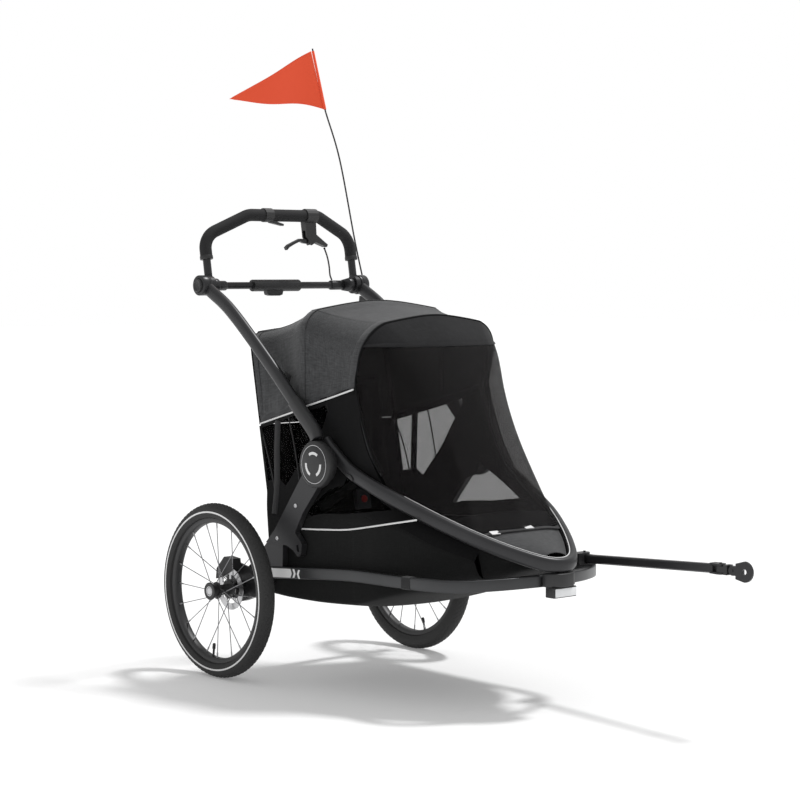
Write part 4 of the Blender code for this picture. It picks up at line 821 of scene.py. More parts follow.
    def lacing(self) -> None:
        """Crossed spokes between the flanges and the rim, with a nipple on each."""
        wires, nipples = [], []
        flanges = ((-0.0331, -0.003, 0.0212), (0.0037, 0.003, 0.0182))
        per_side = self.spokes // 2
        for flange, (from_y, to_y, hub_radius) in enumerate(flanges):
            for i in range(per_side):
                lean = math.radians(self.spoke_lean if i % 2 else -self.spoke_lean)
                at_rim = 2 * math.pi * (i + flange / 2) / per_side
                lift = 0.0013 if i % 2 else -0.0013
                inner = self.place(at_rim + lean, hub_radius, from_y + lift)
                outer = self.place(at_rim, self.rim_inner + 0.0006, to_y)
                head = self.place(at_rim + lean, hub_radius, from_y - 2.2 * lift)
                wires.append(self.wire(inner, outer, self.spoke_radius))
                nipples.append(self.wire(outer.lerp(inner, 0.085), outer, self.nipple_radius))
                wires.append(self.wire(head, inner, self.spoke_radius + 0.0004))
        make(joined(wires), f"spokes_{self.label}", SPOKE, self.body, Slot.RIM_METAL)
        make(joined(nipples), f"nipples_{self.label}", STEEL, self.body, Slot.RIM_METAL)

    def place(self, turn: float, radius: float, along: float) -> Vector:
        """A point on the wheel, at an angle, a radius and a distance outwards."""
        return self.middle + Vector((math.cos(turn) * radius, self.side * along, math.sin(turn) * radius))

    def wire(self, start: Vector, end: Vector, radius: float) -> bmesh.types.BMesh:
        """A short straight round bar."""
        return carried([start, end], round_outline(radius, 8), (end - start).orthogonal())

    def valve(self) -> None:
        """Valve stem and its cap, inside the rim."""
        axis = Vector((math.cos(self.valve_turn), 0, math.sin(self.valve_turn)))
        base = self.middle + axis * (self.rim_inner + 0.002)
        profile = [(0.0001, 0.0), (0.0036, 0.0), (0.0036, -0.003), (0.0027, -0.005), (0.0027, -0.022)]
        profile += [(0.0001, -0.022)]
        make(turned(profile, base, axis, 20), f"valve_{self.label}", RUBBER, self.body, Slot.TYRE)
        cap = [(0.0001, -0.020), (0.0038, -0.020), (0.0041, -0.022), (0.0041, -0.031), (0.0030, -0.034)]
        cap += [(0.0001, -0.034)]
        make(turned(cap, base, axis, 20), f"valve_cap_{self.label}", MOULDING, self.body, Slot.MOULDING)


# ---------------------------------------------------------------- frame
TUBE_WIDTH, TUBE_HEIGHT = 0.022, 0.034
UPPER_TUBE_Y = 0.2492
PIVOT_X, PIVOT_Z = -0.145, 0.962
EYE_Y = 0.2285


@dataclass
class Chassis:
    """The lower frame: rail, forward tube around the nose, nose cap and side fittings.

    Args:
        tube_y: half the distance between the forward tubes.
        rail_width: the rail's width.
        rail_height: its height.
        rail_y: half the distance between its sides.
    """

    tube_y: float = 0.2245
    rail_width: float = 0.020
    rail_height: float = 0.027
    rail_y: float = 0.2500

    def build(self) -> None:
        """Make the chassis pieces."""
        self.forward_tube()
        self.rail()
        self.nose()
        for side, label in SIDES:
            self.small_fittings(side, label)

    def forward_line(self) -> list[Vector]:
        """Centre line of the forward tube, hub to hub.

        Returns:
            The line's points.
        """
        places = [(0.304, 0.2245, 0.5945), (0.334, 0.2245, 0.571), (0.397, 0.2245, 0.530),
                  (0.485, 0.2245, 0.497), (0.560, 0.205, 0.465), (0.654, 0.176, 0.427),
                  (0.731, 0.139, 0.394), (0.801, 0.094, 0.365), (0.856, 0.046, 0.344), (0.874, 0.0, 0.338)]
        return smooth_line(mirrored([at(*place) for place in places]), 8)

    def forward_tube(self) -> None:
        """Forward tube and the bright line along its inner top edge."""
        line = self.forward_line()
        bm = carried(line, stadium(TUBE_WIDTH, TUBE_HEIGHT), UPWARD)
        make(bm, "forward_tube", POWDER, "chassis", Slot.FRAME_METAL, ("front_frame",))
        crest = []
        for i, point in enumerate(line):
            if point.x < AXLE_X + 0.555:
                continue
            ahead = (line[min(i + 1, len(line) - 1)] - line[max(i - 1, 0)]).normalized()
            inward = ahead.cross(UPWARD).normalized()
            crest.append(point + inward * 0.0062 + Vector((0, 0, TUBE_HEIGHT / 2 - 0.0006)))
        make(carried(crest, round_outline(0.0013, 8), UPWARD), "nose_piping", WHITE_LINE,
             "chassis", Slot.REFLECTOR)

    def rail(self) -> None:
        """Flat rail around the front, with a white block, two chevrons and a strap on each side."""
        y = self.rail_y
        places = [(0.125, y, 0.2665), (0.236, y, 0.2755), (0.423, y, 0.290), (0.600, y, 0.294),
                  (0.690, y - 0.003, 0.296), (0.755, y - 0.035, 0.296), (0.805, 0.140, 0.299),
                  (0.836, 0.060, 0.302), (0.840, 0.0, 0.302)]
        line = smooth_line(mirrored([at(*place) for place in places]), 8)
        half, high, soft = self.rail_width / 2, self.rail_height / 2, 0.0035
        corners = ((half - soft, high - soft, 0), (soft - half, high - soft, 90),
                   (soft - half, soft - high, 180), (half - soft, soft - high, 270))
        outline = [spot for x, z, turn in corners for spot in arc((x, z), soft, turn, turn + 90, 4)]
        make(carried(line, outline, UPWARD), "rail_bar", RAIL, "chassis", Slot.RAIL_METAL,
             ("lower_rail",))
        for side, label in SIDES:
            face = side * (y + half)
            out = side * 0.0004
            block_outline = [(0.1330, 0.2570), (0.2120, 0.2630), (0.2170, 0.2735), (0.2120, 0.2845),
                             (0.1330, 0.2785)]
            mark = plate(block_outline, face - out, face + out, Axis.Y, 0.0002, 1)
            chevron = [(0.2200, 0.2640), (0.2270, 0.2645), (0.2320, 0.2745), (0.2270, 0.2855),
                       (0.2200, 0.2850), (0.2250, 0.2745)]
            other = [(0.4690 - x, z) for x, z in reversed(chevron)]
            signs = [plate(sign, face - out, face + out, Axis.Y, 0.0002, 1) for sign in (chevron, other)]
            make(joined([mark, *signs]), f"rail_mark_{label}", WHITE_LINE, "chassis", Slot.REFLECTOR)
            strap = carried([at(0.618, side * y, 0.2945), at(0.648, side * y, 0.2950)],
                            [(u * 1.10, v * 1.08) for u, v in outline], UPWARD)
            make(strap, f"rail_strap_{label}", WEBBING, "chassis", Slot.DARK_FABRIC)

    def nose(self) -> None:
        """Cap under the nose with the reflector's housing and clear face."""
        low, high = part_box("nose_cap")
        half = (high.y - low.y) / 2
        front = high.x - AXLE_X
        back = low.x - AXLE_X
        outline = [(back, -half)] + arc((front - 0.030, -half + 0.020), 0.020, -80, -20, 6)
        outline += [(front, -0.018), (front, 0.018)]
        outline += arc((front - 0.030, half - 0.020), 0.020, 20, 80, 6) + [(back, half)]
        make(plate(outline, low.z, high.z, Axis.Z, 0.003, 3), "nose_shell", MOULDING, "chassis",
             Slot.MOULDING, ("nose_cap",))
        low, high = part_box("front_reflector")
        back, front, half = low.x - AXLE_X, high.x - AXLE_X, (high.y - low.y) / 2
        housing = block(Vector((back, -half, low.z)), Vector((front - 0.003, half, high.z)), 0.002)
        make(housing, "reflector_housing", MOULDING, "chassis", Slot.MOULDING, ("front_reflector",))
        face = block(Vector((front - 0.0028, -half + 0.003, low.z + 0.0025)),
                     Vector((front, half - 0.003, high.z - 0.0025)), 0.0012)
        make(face, "reflector_face", REFLECTOR, "chassis", Slot.REFLECTOR)

    def small_fittings(self, side: int, label: str) -> None:
        """Cleat on the forward tube and the leg's screws.

        Args:
            side: 1 on the left and -1 on the right.
            label: the side's name.
        """
        y = side * (self.tube_y + TUBE_WIDTH / 2)
        cleat = [(0.395, 0.519), (0.418, 0.509), (0.420, 0.514), (0.412, 0.5225), (0.398, 0.5265)]
        make(plate(cleat, y - side * 0.003, y + side * 0.0035, Axis.Y, 0.0012), f"cleat_{label}", MOULDING,
             "chassis", Slot.MOULDING)
        face = max(abs(corner.y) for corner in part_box(f"leg_{label}"))
        screws = []
        for x, z in ((0.222, 0.437), (0.150, 0.352)):
            profile = [(0.0001, -0.001), (0.0052, -0.001), (0.0052, 0.0010), (0.0044, 0.0018),
                       (0.0026, 0.0018), (0.0024, 0.0008), (0.0001, 0.0008)]
            screws.append(turned(profile, at(x, side * face, z), LEFTWARD * side, 24))
        make(joined(screws), f"leg_screws_{label}", STEEL, "chassis", Slot.STEEL)


@dataclass
class UpperFrame:
    """The folding half of the frame: tubes, hub discs, pivots, crossbar and flag.

    Args:
        hub_x: the fold hub's place.
        hub_z: its height.
        hub_radius: radius of its disc.
        bar_x: the crossbar's place.
        bar_z: its height.
    """

    hub_x: float = 0.314
    hub_z: float = 0.543
    hub_radius: float = 0.056
    bar_x: float = -0.166
    bar_z: float = 0.961

    def build(self) -> None:
        """Make the upper frame's pieces."""
        for side, label in SIDES:
            self.tube(side, label)
            self.hub_disc(side, label)
            self.pivot(side, label)
        self.crossbar()
        self.flag()

    def tube(self, side: int, label: str) -> None:
        """Upper tube with its pivot drum.

        Args:
            side: 1 on the left and -1 on the right.
            label: the side's name.
        """
        y = side * UPPER_TUBE_Y
        places = [(-0.126, 0.951), (-0.036, 0.899), (0.102, 0.788), (0.197, 0.704), (0.289, 0.621)]
        line = smooth_line([at(x, y, z) for x, z in places], 10)
        bm = carried(line, stadium(TUBE_WIDTH, TUBE_HEIGHT), UPWARD)
        drum = [(0.0060, 0.0003), (0.0250, 0.0003), (0.0255, 0.0010), (0.0255, 0.0060), (0.0245, 0.0070)]
        drum += [(0.0245, 0.0085), (0.0255, 0.0095), (0.0255, 0.0245), (0.0245, 0.0258), (0.0178, 0.0263)]
        drum += [(0.0172, 0.0255), (0.0172, 0.0150), (0.0060, 0.0150)]
        start = at(PIVOT_X, side * 0.2434, PIVOT_Z)
        whole = joined([bm, turned(drum, start, LEFTWARD * side, 56)])
        make(whole, f"upper_rail_{label}", POWDER, "upper_frame", Slot.FRAME_METAL, (f"upper_tube_{label}",))

    def hub_disc(self, side: int, label: str) -> None:
        """Outer hub disc with its rings, pivot cap and the tube's socket.

        Args:
            side: 1 on the left and -1 on the right.
            label: the side's name.
        """
        centre = at(self.hub_x, side * 0.2518, self.hub_z)
        r = self.hub_radius
        profile = [(0.0005, 0.0), (r - 0.001, 0.0), (r, 0.001), (r, 0.0135), (r - 0.0015, 0.0160)]
        profile += [(r - 0.0050, 0.0180), (r - 0.0085, 0.0185), (r - 0.0100, 0.0176), (r - 0.0115, 0.0176)]
        profile += [(r - 0.0128, 0.0185), (0.020, 0.0198), (0.0005, 0.0202)]
        disc = turned(profile, centre, LEFTWARD * side, 72)
        places = [at(0.215, side * UPPER_TUBE_Y, 0.688), at(0.248, side * UPPER_TUBE_Y, 0.658),
                  at(0.292, side * 0.2500, 0.6195), at(0.305, side * 0.2520, 0.600)]
        socket = carried(smooth_line(places, 5), stadium(0.0264, 0.0384), UPWARD)
        make(joined([disc, socket]), f"hub_cover_{label}", MOULDING, "upper_frame", Slot.MOULDING,
             (f"fold_hub_outer_{label}",))
        ring = [(r - 0.0098, 0.0172), (r - 0.0102, 0.0182), (r - 0.0114, 0.0182), (r - 0.0118, 0.0172)]
        make(turned(ring, centre, LEFTWARD * side, 72), f"hub_ring_line_{label}", STEEL, "upper_frame",
             Slot.STEEL)
        badge = []
        for turn in (90, 210, 330):
            shape = arc((self.hub_x, self.hub_z), 0.030, turn - 34, turn + 34, 10)
            shape += arc((self.hub_x, self.hub_z), 0.0235, turn + 34, turn - 34, 10)
            badge.append(plate(shape, side * 0.2703, side * 0.2719, Axis.Y, 0.0002, 1))
        make(joined(badge), f"hub_badge_{label}", WHITE_LINE, "upper_frame", Slot.REFLECTOR)

    def pivot(self, side: int, label: str) -> None:
        """Tilt button with a dished face and a grip ring.

        Args:
            side: 1 on the left and -1 on the right.
            label: the side's name.
        """
        low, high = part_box(f"tilt_button_{label}")
        out = max(abs(low.y), abs(high.y))
        deep = out - min(abs(low.y), abs(high.y))
        centre = at(PIVOT_X, side * out, PIVOT_Z)
        profile = [(0.0005, -deep), (0.0165, -deep), (0.0165, -0.0022), (0.0155, -0.0005), (0.0140, 0.0)]
        profile += [(0.0122, -0.0006), (0.0112, -0.0014), (0.0060, -0.0020), (0.0005, -0.0022)]
        make(turned(profile, centre, LEFTWARD * side, 48), f"tilt_cap_{label}", MOULDING,
             f"tilt_button_{label}", Slot.MOULDING, (f"tilt_button_{label}",))

    def crossbar(self) -> None:
        """Round crossbar with its end bosses."""
        reach = 0.2282
        low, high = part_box("fold_trigger")
        profile = [(0.0005, -reach), (0.0120, -reach), (0.0125, -reach + 0.0008), (0.0125, -0.1730)]
        profile += [(0.0115, -0.1712), (0.0090, -0.1705), (0.0090, low.y - 0.003), (0.0045, low.y - 0.002)]
        profile += [(0.0045, high.y + 0.002), (0.0090, high.y + 0.003), (0.0090, 0.1705), (0.0115, 0.1712)]
        profile += [(0.0125, 0.1730), (0.0125, reach - 0.0008), (0.0120, reach), (0.0005, reach)]
        bar = turned(profile, at(self.bar_x, 0, self.bar_z), LEFTWARD, 32)
        parts = [bar]
        for side, _ in SIDES:
            link = arc((PIVOT_X, PIVOT_Z), 0.0175, -90, 90, 14)
            link += arc((self.bar_x, self.bar_z), 0.0145, 90, 270, 14)
            parts.append(plate(link, side * 0.2125, side * 0.2282, Axis.Y, 0.0015))
            pin = [(0.0005, -0.018), (0.005, -0.018), (0.005, -0.0005), (0.0005, -0.0005)]
            parts.append(turned(pin, at(PIVOT_X, side * 0.2434, PIVOT_Z), LEFTWARD * side, 20))
        make(joined(parts), "cross_tube", POWDER, "upper_frame", Slot.FRAME_METAL, ("crossbar",))

    def flag(self) -> None:
        """Springy pole as a bare bent rod, and the three-cornered flag with its hem."""
        low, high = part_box("flag_pole")
        y = (low.y + high.y) / 2
        line = [(-0.146, 0.900), (-0.160, 0.942), (-0.206, 1.081), (-0.269, 1.298), (-0.330, 1.432),
                (-0.386, 1.605)]
        points = [at(x, y, z) for x, z in line]
        path = smooth_line(points[:5], 10) + [points[5]]
        pole = carried(path, round_outline(0.0022, 10), LEFTWARD)
        tip = points[5]
        make(pole, "flag_rod", MOULDING, "upper_frame", Slot.MOULDING, ("flag_pole",))
        fly = at(-0.610, y - 0.117, 1.476)
        clear = Vector((-0.9, -0.42, 0.0)) * 0.0027
        hoist_low, hoist_high = points[4].lerp(tip, 0.03) + clear, tip.lerp(points[4], 0.04) + clear

        def shape(u: float, v: float) -> Vector:
            """The flag's cloth: hoist at u = 0 and tip at u = 1.

            Args:
                u: share from the hoist to the tip.
                v: share up the hoist.

            Returns:
                The point.
            """
            spot = hoist_low.lerp(fly, u).lerp(hoist_high.lerp(fly, u), v)
            wave = 0.013 * math.sin(2.1 * math.pi * u + 0.5 * v) * (1 - u)
            wave += 0.004 * math.sin(9 * u + 2 * v) * u * (1 - u)
            dip = 0.010 * math.sin(2 * math.pi * u) * (1 - v) * (1 - u)
            return spot + Vector((0.42, -0.9, 0)) * wave + Vector((0, 0, dip))

        cloth = draped(shape, 48, 24)
        bmesh.ops.remove_doubles(cloth, verts=cloth.verts, dist=1e-5)
        flag = make(cloth, "flag_cloth", FLAG_CLOTH, "upper_frame", Slot.FLAG_CLOTH, ("flag",), thick=0.0007,
                    closed=False)
        sleeve = [points[4].lerp(tip, 0.03 + 0.93 * i / 8) for i in range(9)]
        hem = make(carried(sleeve, round_outline(0.0036, 12), LEFTWARD), "flag_sleeve", FLAG_CLOTH,
                   "upper_frame", Slot.FLAG_CLOTH)
        seams = []
        for v in (0.0, 1.0):
            edge = [shape(i / 24, v * 0.96 + 0.02) for i in range(24)]
            seams.append(carried(edge, round_outline(0.0007, 6), LEFTWARD))
        trim = make(joined(seams), "flag_hem", FLAG_CLOTH, "upper_frame", Slot.FLAG_CLOTH)
        cut_sheet(flag, Held.HUNG)


@dataclass
class Handle:
    """The tilting handlebar with its foam, and the brake cable.

    Args:
        low_bend: where (x, z) each side bends.
        top: where (x, z) the top corners are.
        half: half the distance between the top corners.
        bar_y: half the distance between the sides.
        bend: radius of the bends.
        foam_start: height at which the foam starts.
    """

    low_bend: tuple[float, float] = (-0.166, 1.085)
    top: tuple[float, float] = (-0.146, 1.141)
    half: float = 0.112
    bar_y: float = 0.236
    bend: float = 0.050
    foam_start: float = 1.030

    def corners(self) -> list[Vector]:
        """Corners of the left half of the bar's centre line.

        Returns:
            The corners, from the pivot up.
        """
        low = at(PIVOT_X, self.bar_y, PIVOT_Z)
        bend = at(self.low_bend[0], self.bar_y, self.low_bend[1])
        return [low + (bend - low).normalized() * 0.027, bend, at(self.top[0], self.half, self.top[1])]

    def build(self) -> None:
        """Make the bar, the foam and the cable."""
        corners = self.corners()
        rise = (corners[1] - corners[0]).normalized()
        self.bar(corners, rise)
        self.foam(corners, rise)
        self.cable()

    def bar(self, corners: Sequence[Vector], rise: Vector) -> None:
        """Bent bar with an eye and a neck at each end.

        Args:
            corners: corners of the left half.
            rise: direction of the straight run from the pivot.
        """
        line = rounded_line(mirrored(corners), self.bend, 12)
        parts = [carried(line, round_outline(0.010), FORWARD)]
        across = Vector((-rise.z, 0, rise.x)) * 0.009
        foot = Vector((PIVOT_X, 0, PIVOT_Z))
        for side, _ in SIDES:
            eye = [(0.0056, 0.0), (0.0225, 0.0), (0.0235, 0.001), (0.0235, 0.0139), (0.0225, 0.0149)]
            eye.append((0.0056, 0.0149))
            parts.append(turned(eye, at(PIVOT_X, side * EYE_Y, PIVOT_Z), LEFTWARD * side, 48))
            neck = [foot + rise * 0.020 + across, foot + rise * 0.020 - across,
                    foot + rise * 0.040 - across * 0.7, foot + rise * 0.040 + across * 0.7]
            parts.append(plate([(p.x, p.z) for p in neck], side * 0.2290, side * 0.2430, Axis.Y, 0.0015))
        make(joined(parts), "handle_tube", POWDER, "handlebar", Slot.FRAME_METAL, ("handlebar",))

    def foam(self, corners: Sequence[Vector], rise: Vector) -> None:
        """Foam over the bends and the top, with its end collars and its seam.

        Args:
            corners: corners of the left half.
            rise: direction of the straight run from the pivot.
        """
        share = (self.foam_start - corners[0].z) / (corners[1].z - corners[0].z)
        start = corners[0].lerp(corners[1], share)
        line = rounded_line(mirrored([start, *corners[1:]]), self.bend, 14)
        sleeve = make(carried(line, round_outline(0.0155, 28), FORWARD), "foam_sleeve", SOFT_FOAM,
                      "handlebar", Slot.FOAM, ("foam_grip",))
        profile = [(0.0103, -0.003), (0.0160, -0.003), (0.0166, -0.001), (0.0166, 0.005), (0.0158, 0.007)]
        profile.append((0.0103, 0.007))
        collars = [turned(profile, Vector((start.x, side * start.y, start.z)), rise, 36) for side, _ in SIDES]
        make(joined(collars), "foam_collars", MOULDING, "handlebar", Slot.MOULDING)
        seam = []
        for i, point in enumerate(line):
            ahead = (line[min(i + 1, len(line) - 1)] - line[max(i - 1, 0)]).normalized()
            seam.append(point - ahead.cross(FORWARD).normalized() * 0.0154)
        make(carried(seam, round_outline(0.0006, 6), FORWARD), "foam_seam", MOULDING, "handlebar", Slot.FOAM)

    def cable(self) -> None:
        """Brake cable in its outer sleeve, with a ferrule at the lever."""
        route = [(-0.152, 0.1405, 1.0585), (-0.153, 0.1445, 1.0520), (-0.155, 0.1540, 1.0330),
                 (-0.158, 0.1620, 1.0100), (-0.162, 0.1680, 0.9880), (-0.166, 0.1770, 0.9750)]
        line = smooth_line([at(*place) for place in route], 6)
        parts = [carried(line, round_outline(0.0021, 12), FORWARD),
                 carried(line[:3], round_outline(0.0029, 12), FORWARD)]
        make(joined(parts), "cable_sleeve", MOULDING, "handlebar", Slot.MOULDING, ("brake_cable",))


# ---------------------------------------------------------------- cabin
@dataclass(frozen=True)
class Roof:
    """One cross section of the roof.

    Args:
        half: its half width.
        top: height of its ridge.
        corner: radius of its shoulders.
        crown: how far the ridge stands above the shoulders.
    """

    half: float
    top: float
    corner: float
    crown: float

    def outline(self, base: float, inset: float = 0.0) -> Outline:
        """Half of the section, from its foot to the middle.

        Args:
            base: height of its foot.
            inset: how far it lies inside the cloth.

        Returns:
            The outline's points.
        """
        half, top, corner = self.half - inset, self.top - inset, self.corner - inset
        shoulder = top - self.crown - corner
        points = [(half, base), (half, (base + shoulder) / 2)]
        points += arc((half - corner, shoulder), corner, 0, 80, 6)
        return points + [((half - corner) * 0.45, top - self.crown * 0.25), (0.0, top)]

    def row(self, base: float, x_at: Callable[[float], float], inset: float = 0.0) -> list[Vector]:
        """The whole section in place, from the left foot to the right foot."""
        return mirrored([at(x_at(z), y, z) for y, z in self.outline(base, inset)])


REAR_ROOF = Roof(0.215, 0.860, 0.045, 0.012)
MAIN_ROOF = Roof(0.228, 0.925, 0.060, 0.018)
FRONT_ROOF = Roof(0.214, 0.894, 0.090, 0.014)
REAR_SEAM, MAIN_SEAM, FRONT_SEAM = 0.622, 0.672, 0.722
MAIN_BOW_X = 0.220
WALL_HALF = 0.2115
CABIN_HALF = 0.228
VISOR_HEM = 0.825
TUBE_SIDE = 0.011
SLIM_TUBE = ((0.485, 0.2245, 0.497), (0.560, 0.205, 0.465), (0.654, 0.176, 0.427),
             (0.731, 0.139, 0.394), (0.801, 0.094, 0.365), (0.856, 0.046, 0.344))


def rear_x(z: float) -> float:
    """Where the sloping rear wall stands at a height."""
    return 0.009 + (0.774 - z) * 0.19


def front_x(z: float) -> float:
    """Where the front bow stands at a height."""
    return 0.395 + max(0.0, z - 0.73) * 0.25


def tube_at(x: float) -> tuple[float, float]:
    """Where (y, z) the left forward tube runs.

    Args:
        x: distance from the wheel axle.

    Returns:
        Its side and height.
    """
    for (x0, y0, z0), (x1, y1, z1) in zip(SLIM_TUBE, SLIM_TUBE[1:]):
        if x <= x1:
            share = (x - x0) / (x1 - x0)
            return y0 + (y1 - y0) * share, z0 + (z1 - z0) * share
    return SLIM_TUBE[-1][1:]


def beside_tube(x: float) -> float:
    """Half width that clears the forward tubes' inner sides.

    Args:
        x: distance from the wheel axle.

    Returns:
        The half width.
    """
    y = tube_at(x)[0]
    slope = (tube_at(x + 0.001)[0] - y) / 0.001
    return y - TUBE_SIDE * math.hypot(1, slope) - 0.002


def panel_z(x: float, y: float) -> float:
    """Height of the nose panel."""
    return tube_at(x)[1] + 0.005 + 0.010 * max(0.0, 1 - (y / beside_tube(x)) ** 2)


def settled(point: Vector, depth: float) -> Vector:
    """A point pulled in towards the cabin's middle line."""
    inward = Vector((0, -point.y, 0.68 - point.z))
    return point + inward.normalized() * depth if inward.length > 0.05 else point


def seam_line(shape: Surface, u: float, margin: float, steps: int) -> list[Vector]:
    """A line across a surface at one share along it.

    Args:
        shape: the surface.
        u: the share along it.
        margin: share left free at each end.
        steps: steps of the line.

    Returns:
        The line's points.
    """
    return [shape(u, margin + (1 - 2 * margin) * i / steps) for i in range(steps + 1)]


def tape(line: Sequence[Vector], width: float, thick: float, up: Vector) -> bmesh.types.BMesh:
    """A flat woven tape along a line.

    Args:
        line: points that its middle follows.
        width: of the tape.
        thick: its thickness.
        up: direction that its face looks in.

    Returns:
        A closed mesh.
    """
    half, rise = width / 2, thick / 2
    soft = rise * 0.9
    outline = arc((half - soft, 0), soft, -90, 90, 4) + arc((soft - half, 0), soft, 90, 270, 4)
    outline = [(u, v * rise / soft) for u, v in outline]
    return carried(line, outline, up)


@dataclass
class Cover:
    """Roof, rear wall, side walls, belly, windows and piping.

    Args:
        bow_radius: radius of the bows.
        skin: thickness of the cloth.
        windows: outlines (x, z) of one side's netting.
    """

    bow_radius: float = 0.006
    skin: float = 0.0011
    windows: tuple = (
        ((0.0415, 0.612), (0.2987, 0.6800), (0.3025, 0.6650), (0.2766, 0.6248), (0.2542, 0.5959),
         (0.2053, 0.5398), (0.1478, 0.4772), (0.1207, 0.4933), (0.0665, 0.4833)),
        ((0.3725, 0.5254), (0.5221, 0.4475), (0.2621, 0.4119), (0.2357, 0.4225), (0.3103, 0.4811),
         (0.3580, 0.4945)),
    )

    def build(self) -> None:
        """Make the cover."""
        self.roof()
        self.rear_panel()
        self.bows()
        self.tub()
        for side, label in SIDES:
            self.piping(side, label)
            self.strap(side, label)

    def roof_rows(self) -> list[list[Vector]]:
        """Sections of the roof, which settles a little between the bows.

        Returns:
            The sections, from the rear.
        """
        rear = REAR_ROOF.row(REAR_SEAM, rear_x)
        main = MAIN_ROOF.row(MAIN_SEAM, lambda z: MAIN_BOW_X)
        front = FRONT_ROOF.row(FRONT_SEAM, front_x)
        rows = [rear]
        for first, second, sag in ((rear, main, 0.012), (main, front, 0.0065)):
            for share, part in ((0.25, 0.7), (0.5, 1.0), (0.75, 0.7)):
                middle = [a.lerp(b, share) for a, b in zip(first, second)]
                rows.append([settled(p, sag * part * min(1.0, max(0.0, (p.z - 0.66) / 0.12)))
                             for p in middle])
            rows.append(second)
        return rows

    def roof(self) -> None:
        """Grey roof with the casings of its bows."""
        smooth = loft(self.roof_rows())

        def shape(u: float, v: float) -> Vector:
            """The roof with faint pulls towards its seams.

            Args:
                u: share along the surface's first direction.
                v: share along its second.

            Returns:
                The point.
            """
            point = smooth(u, v)
            near = min(v, 1 - v)
            pull = 0.0012 * math.sin(34 * u + 3 * v) * math.exp(-near * 22) * (1 - abs(2 * u - 1) ** 6)
            return settled(point, pull)

        bm = draped(shape, 72, 96)
        roof = make(bm, "canopy_roof", CANOPY_CLOTH, "chassis", Slot.GREY_FABRIC, ("canopy",), self.skin,
                    False)
        tapes = []
        for u in (0.02, 0.5, 0.975):
            line = seam_line(smooth, u, 0.01, 90)
            ahead = smooth(u + 0.01 if u < 0.9 else u, 0.5) - smooth(u - 0.01 if u > 0.1 else u, 0.5)
            line = [settled(p, -0.0012) for p in line]
            tapes.append(self.casing(line, ahead.normalized()))
        casings = make(joined(tapes), "canopy_casings", CANOPY_CLOTH, "chassis", Slot.GREY_FABRIC)
        cut_sheet(roof, Held.STRETCHED)

    def casing(self, line: Sequence[Vector], ahead: Vector) -> bmesh.types.BMesh:
        """A sewn tape over a bow, flat on the cloth.

        Args:
            line: points that its middle follows.
            ahead: direction across the tape, along the cloth.

        Returns:
            A closed mesh.
        """
        half, rise = 0.011, 0.0006
        section = ((-half, -rise), (half, -rise), (half, rise * 0.4), (half - 0.001, rise),
                   (0.001 - half, rise), (-half, rise * 0.4))
        bm = bmesh.new()
        rings = []
        for i, point in enumerate(line):
            tangent = (line[min(i + 1, len(line) - 1)] - line[max(i - 1, 0)]).normalized()
            out = ahead.cross(tangent).normalized()
            if out.dot(Vector((0, point.y, point.z - 0.7))) < 0:
                out = -out
            rings.append([bm.verts.new(point + ahead * a + out * b)
                          for a, b in section])
        for ring, after in zip(rings, rings[1:]):
            for j in range(6):
                bm.faces.new((ring[j], ring[(j + 1) % 6], after[(j + 1) % 6], after[j]))
        bmesh.ops.holes_fill(bm, edges=[e for e in bm.edges if e.is_boundary], sides=0)
        return bm

    def rear_panel(self) -> None:
        """Upper rear panel with its zip line and seam tape."""
        row = REAR_ROOF.row(REAR_SEAM, rear_x)
        half = len(row) // 2

        def shape(u: float, v: float) -> Vector:
            """The panel, bellied a little outwards: u across and v up.

            Args:
                u: share along the surface's first direction.
                v: share along its second.

            Returns:
                The point.
            """
            left, right = curve_point(row[:half + 1], v), curve_point(list(reversed(row[half:])), v)
            point = left.lerp(right, u)
            belly = 0.006 * math.sin(math.pi * u) * math.sin(math.pi * min(1.0, v * 1.05))
            return point + Vector((-belly, 0, 0))

        panel = make(draped(shape, 48, 40), "rear_panel", CANOPY_CLOTH, "chassis", Slot.GREY_FABRIC, (),
                     self.skin, False)
        cut_sheet(panel, Held.STRETCHED)
        edge = smooth_line(row, 6)
        make(carried([settled(p, -0.0016) for p in edge], round_outline(0.0021, 8), FORWARD),
             "rear_piping", SIDE_CLOTH, "chassis", Slot.DARK_FABRIC)
        zip_line = [shape(0.5, 0.04 + 0.86 * i / 30) + Vector((-0.0015, 0, 0)) for i in range(31)]
        make(tape(zip_line, 0.010, 0.0016, LEFTWARD), "rear_zip", WEBBING, "chassis", Slot.DARK_FABRIC)

    def bows(self) -> None:
        """Round bows under the roof."""
        inset = 0.0076
        rows = (
            ("bow_rear", "rear_bow", REAR_ROOF, lambda z: rear_x(z) + 0.012, REAR_SEAM + 0.02),
            ("bow_main", "main_bow", MAIN_ROOF, lambda z: MAIN_BOW_X, MAIN_SEAM + 0.02),
            ("bow_front", "front_bow", FRONT_ROOF, lambda z: front_x(z) - 0.012, FRONT_SEAM + 0.02),
        )
        for name, node, roof, x_at, base in rows:
            path = roof.row(base, x_at, inset)
            if node == "front_bow":
                y = WALL_HALF - 0.0076
                leg = [at(0.486, y - 0.0025, 0.526), at(0.446, y, 0.576), at(0.414, y, 0.640),
                       at(0.388, y, 0.705)]
                path = mirrored(leg + path[:len(path) // 2 + 1])
            line = smooth_line(path, 5)
            make(carried(line, round_outline(self.bow_radius, 14), FORWARD), name, POWDER, "chassis",
                 Slot.FRAME_METAL, (node,))

    def tub_rows(self) -> list[list[Vector]]:
        """Sections of the lower body, from the rear wall to the nose.

        Returns:
            The sections.
        """

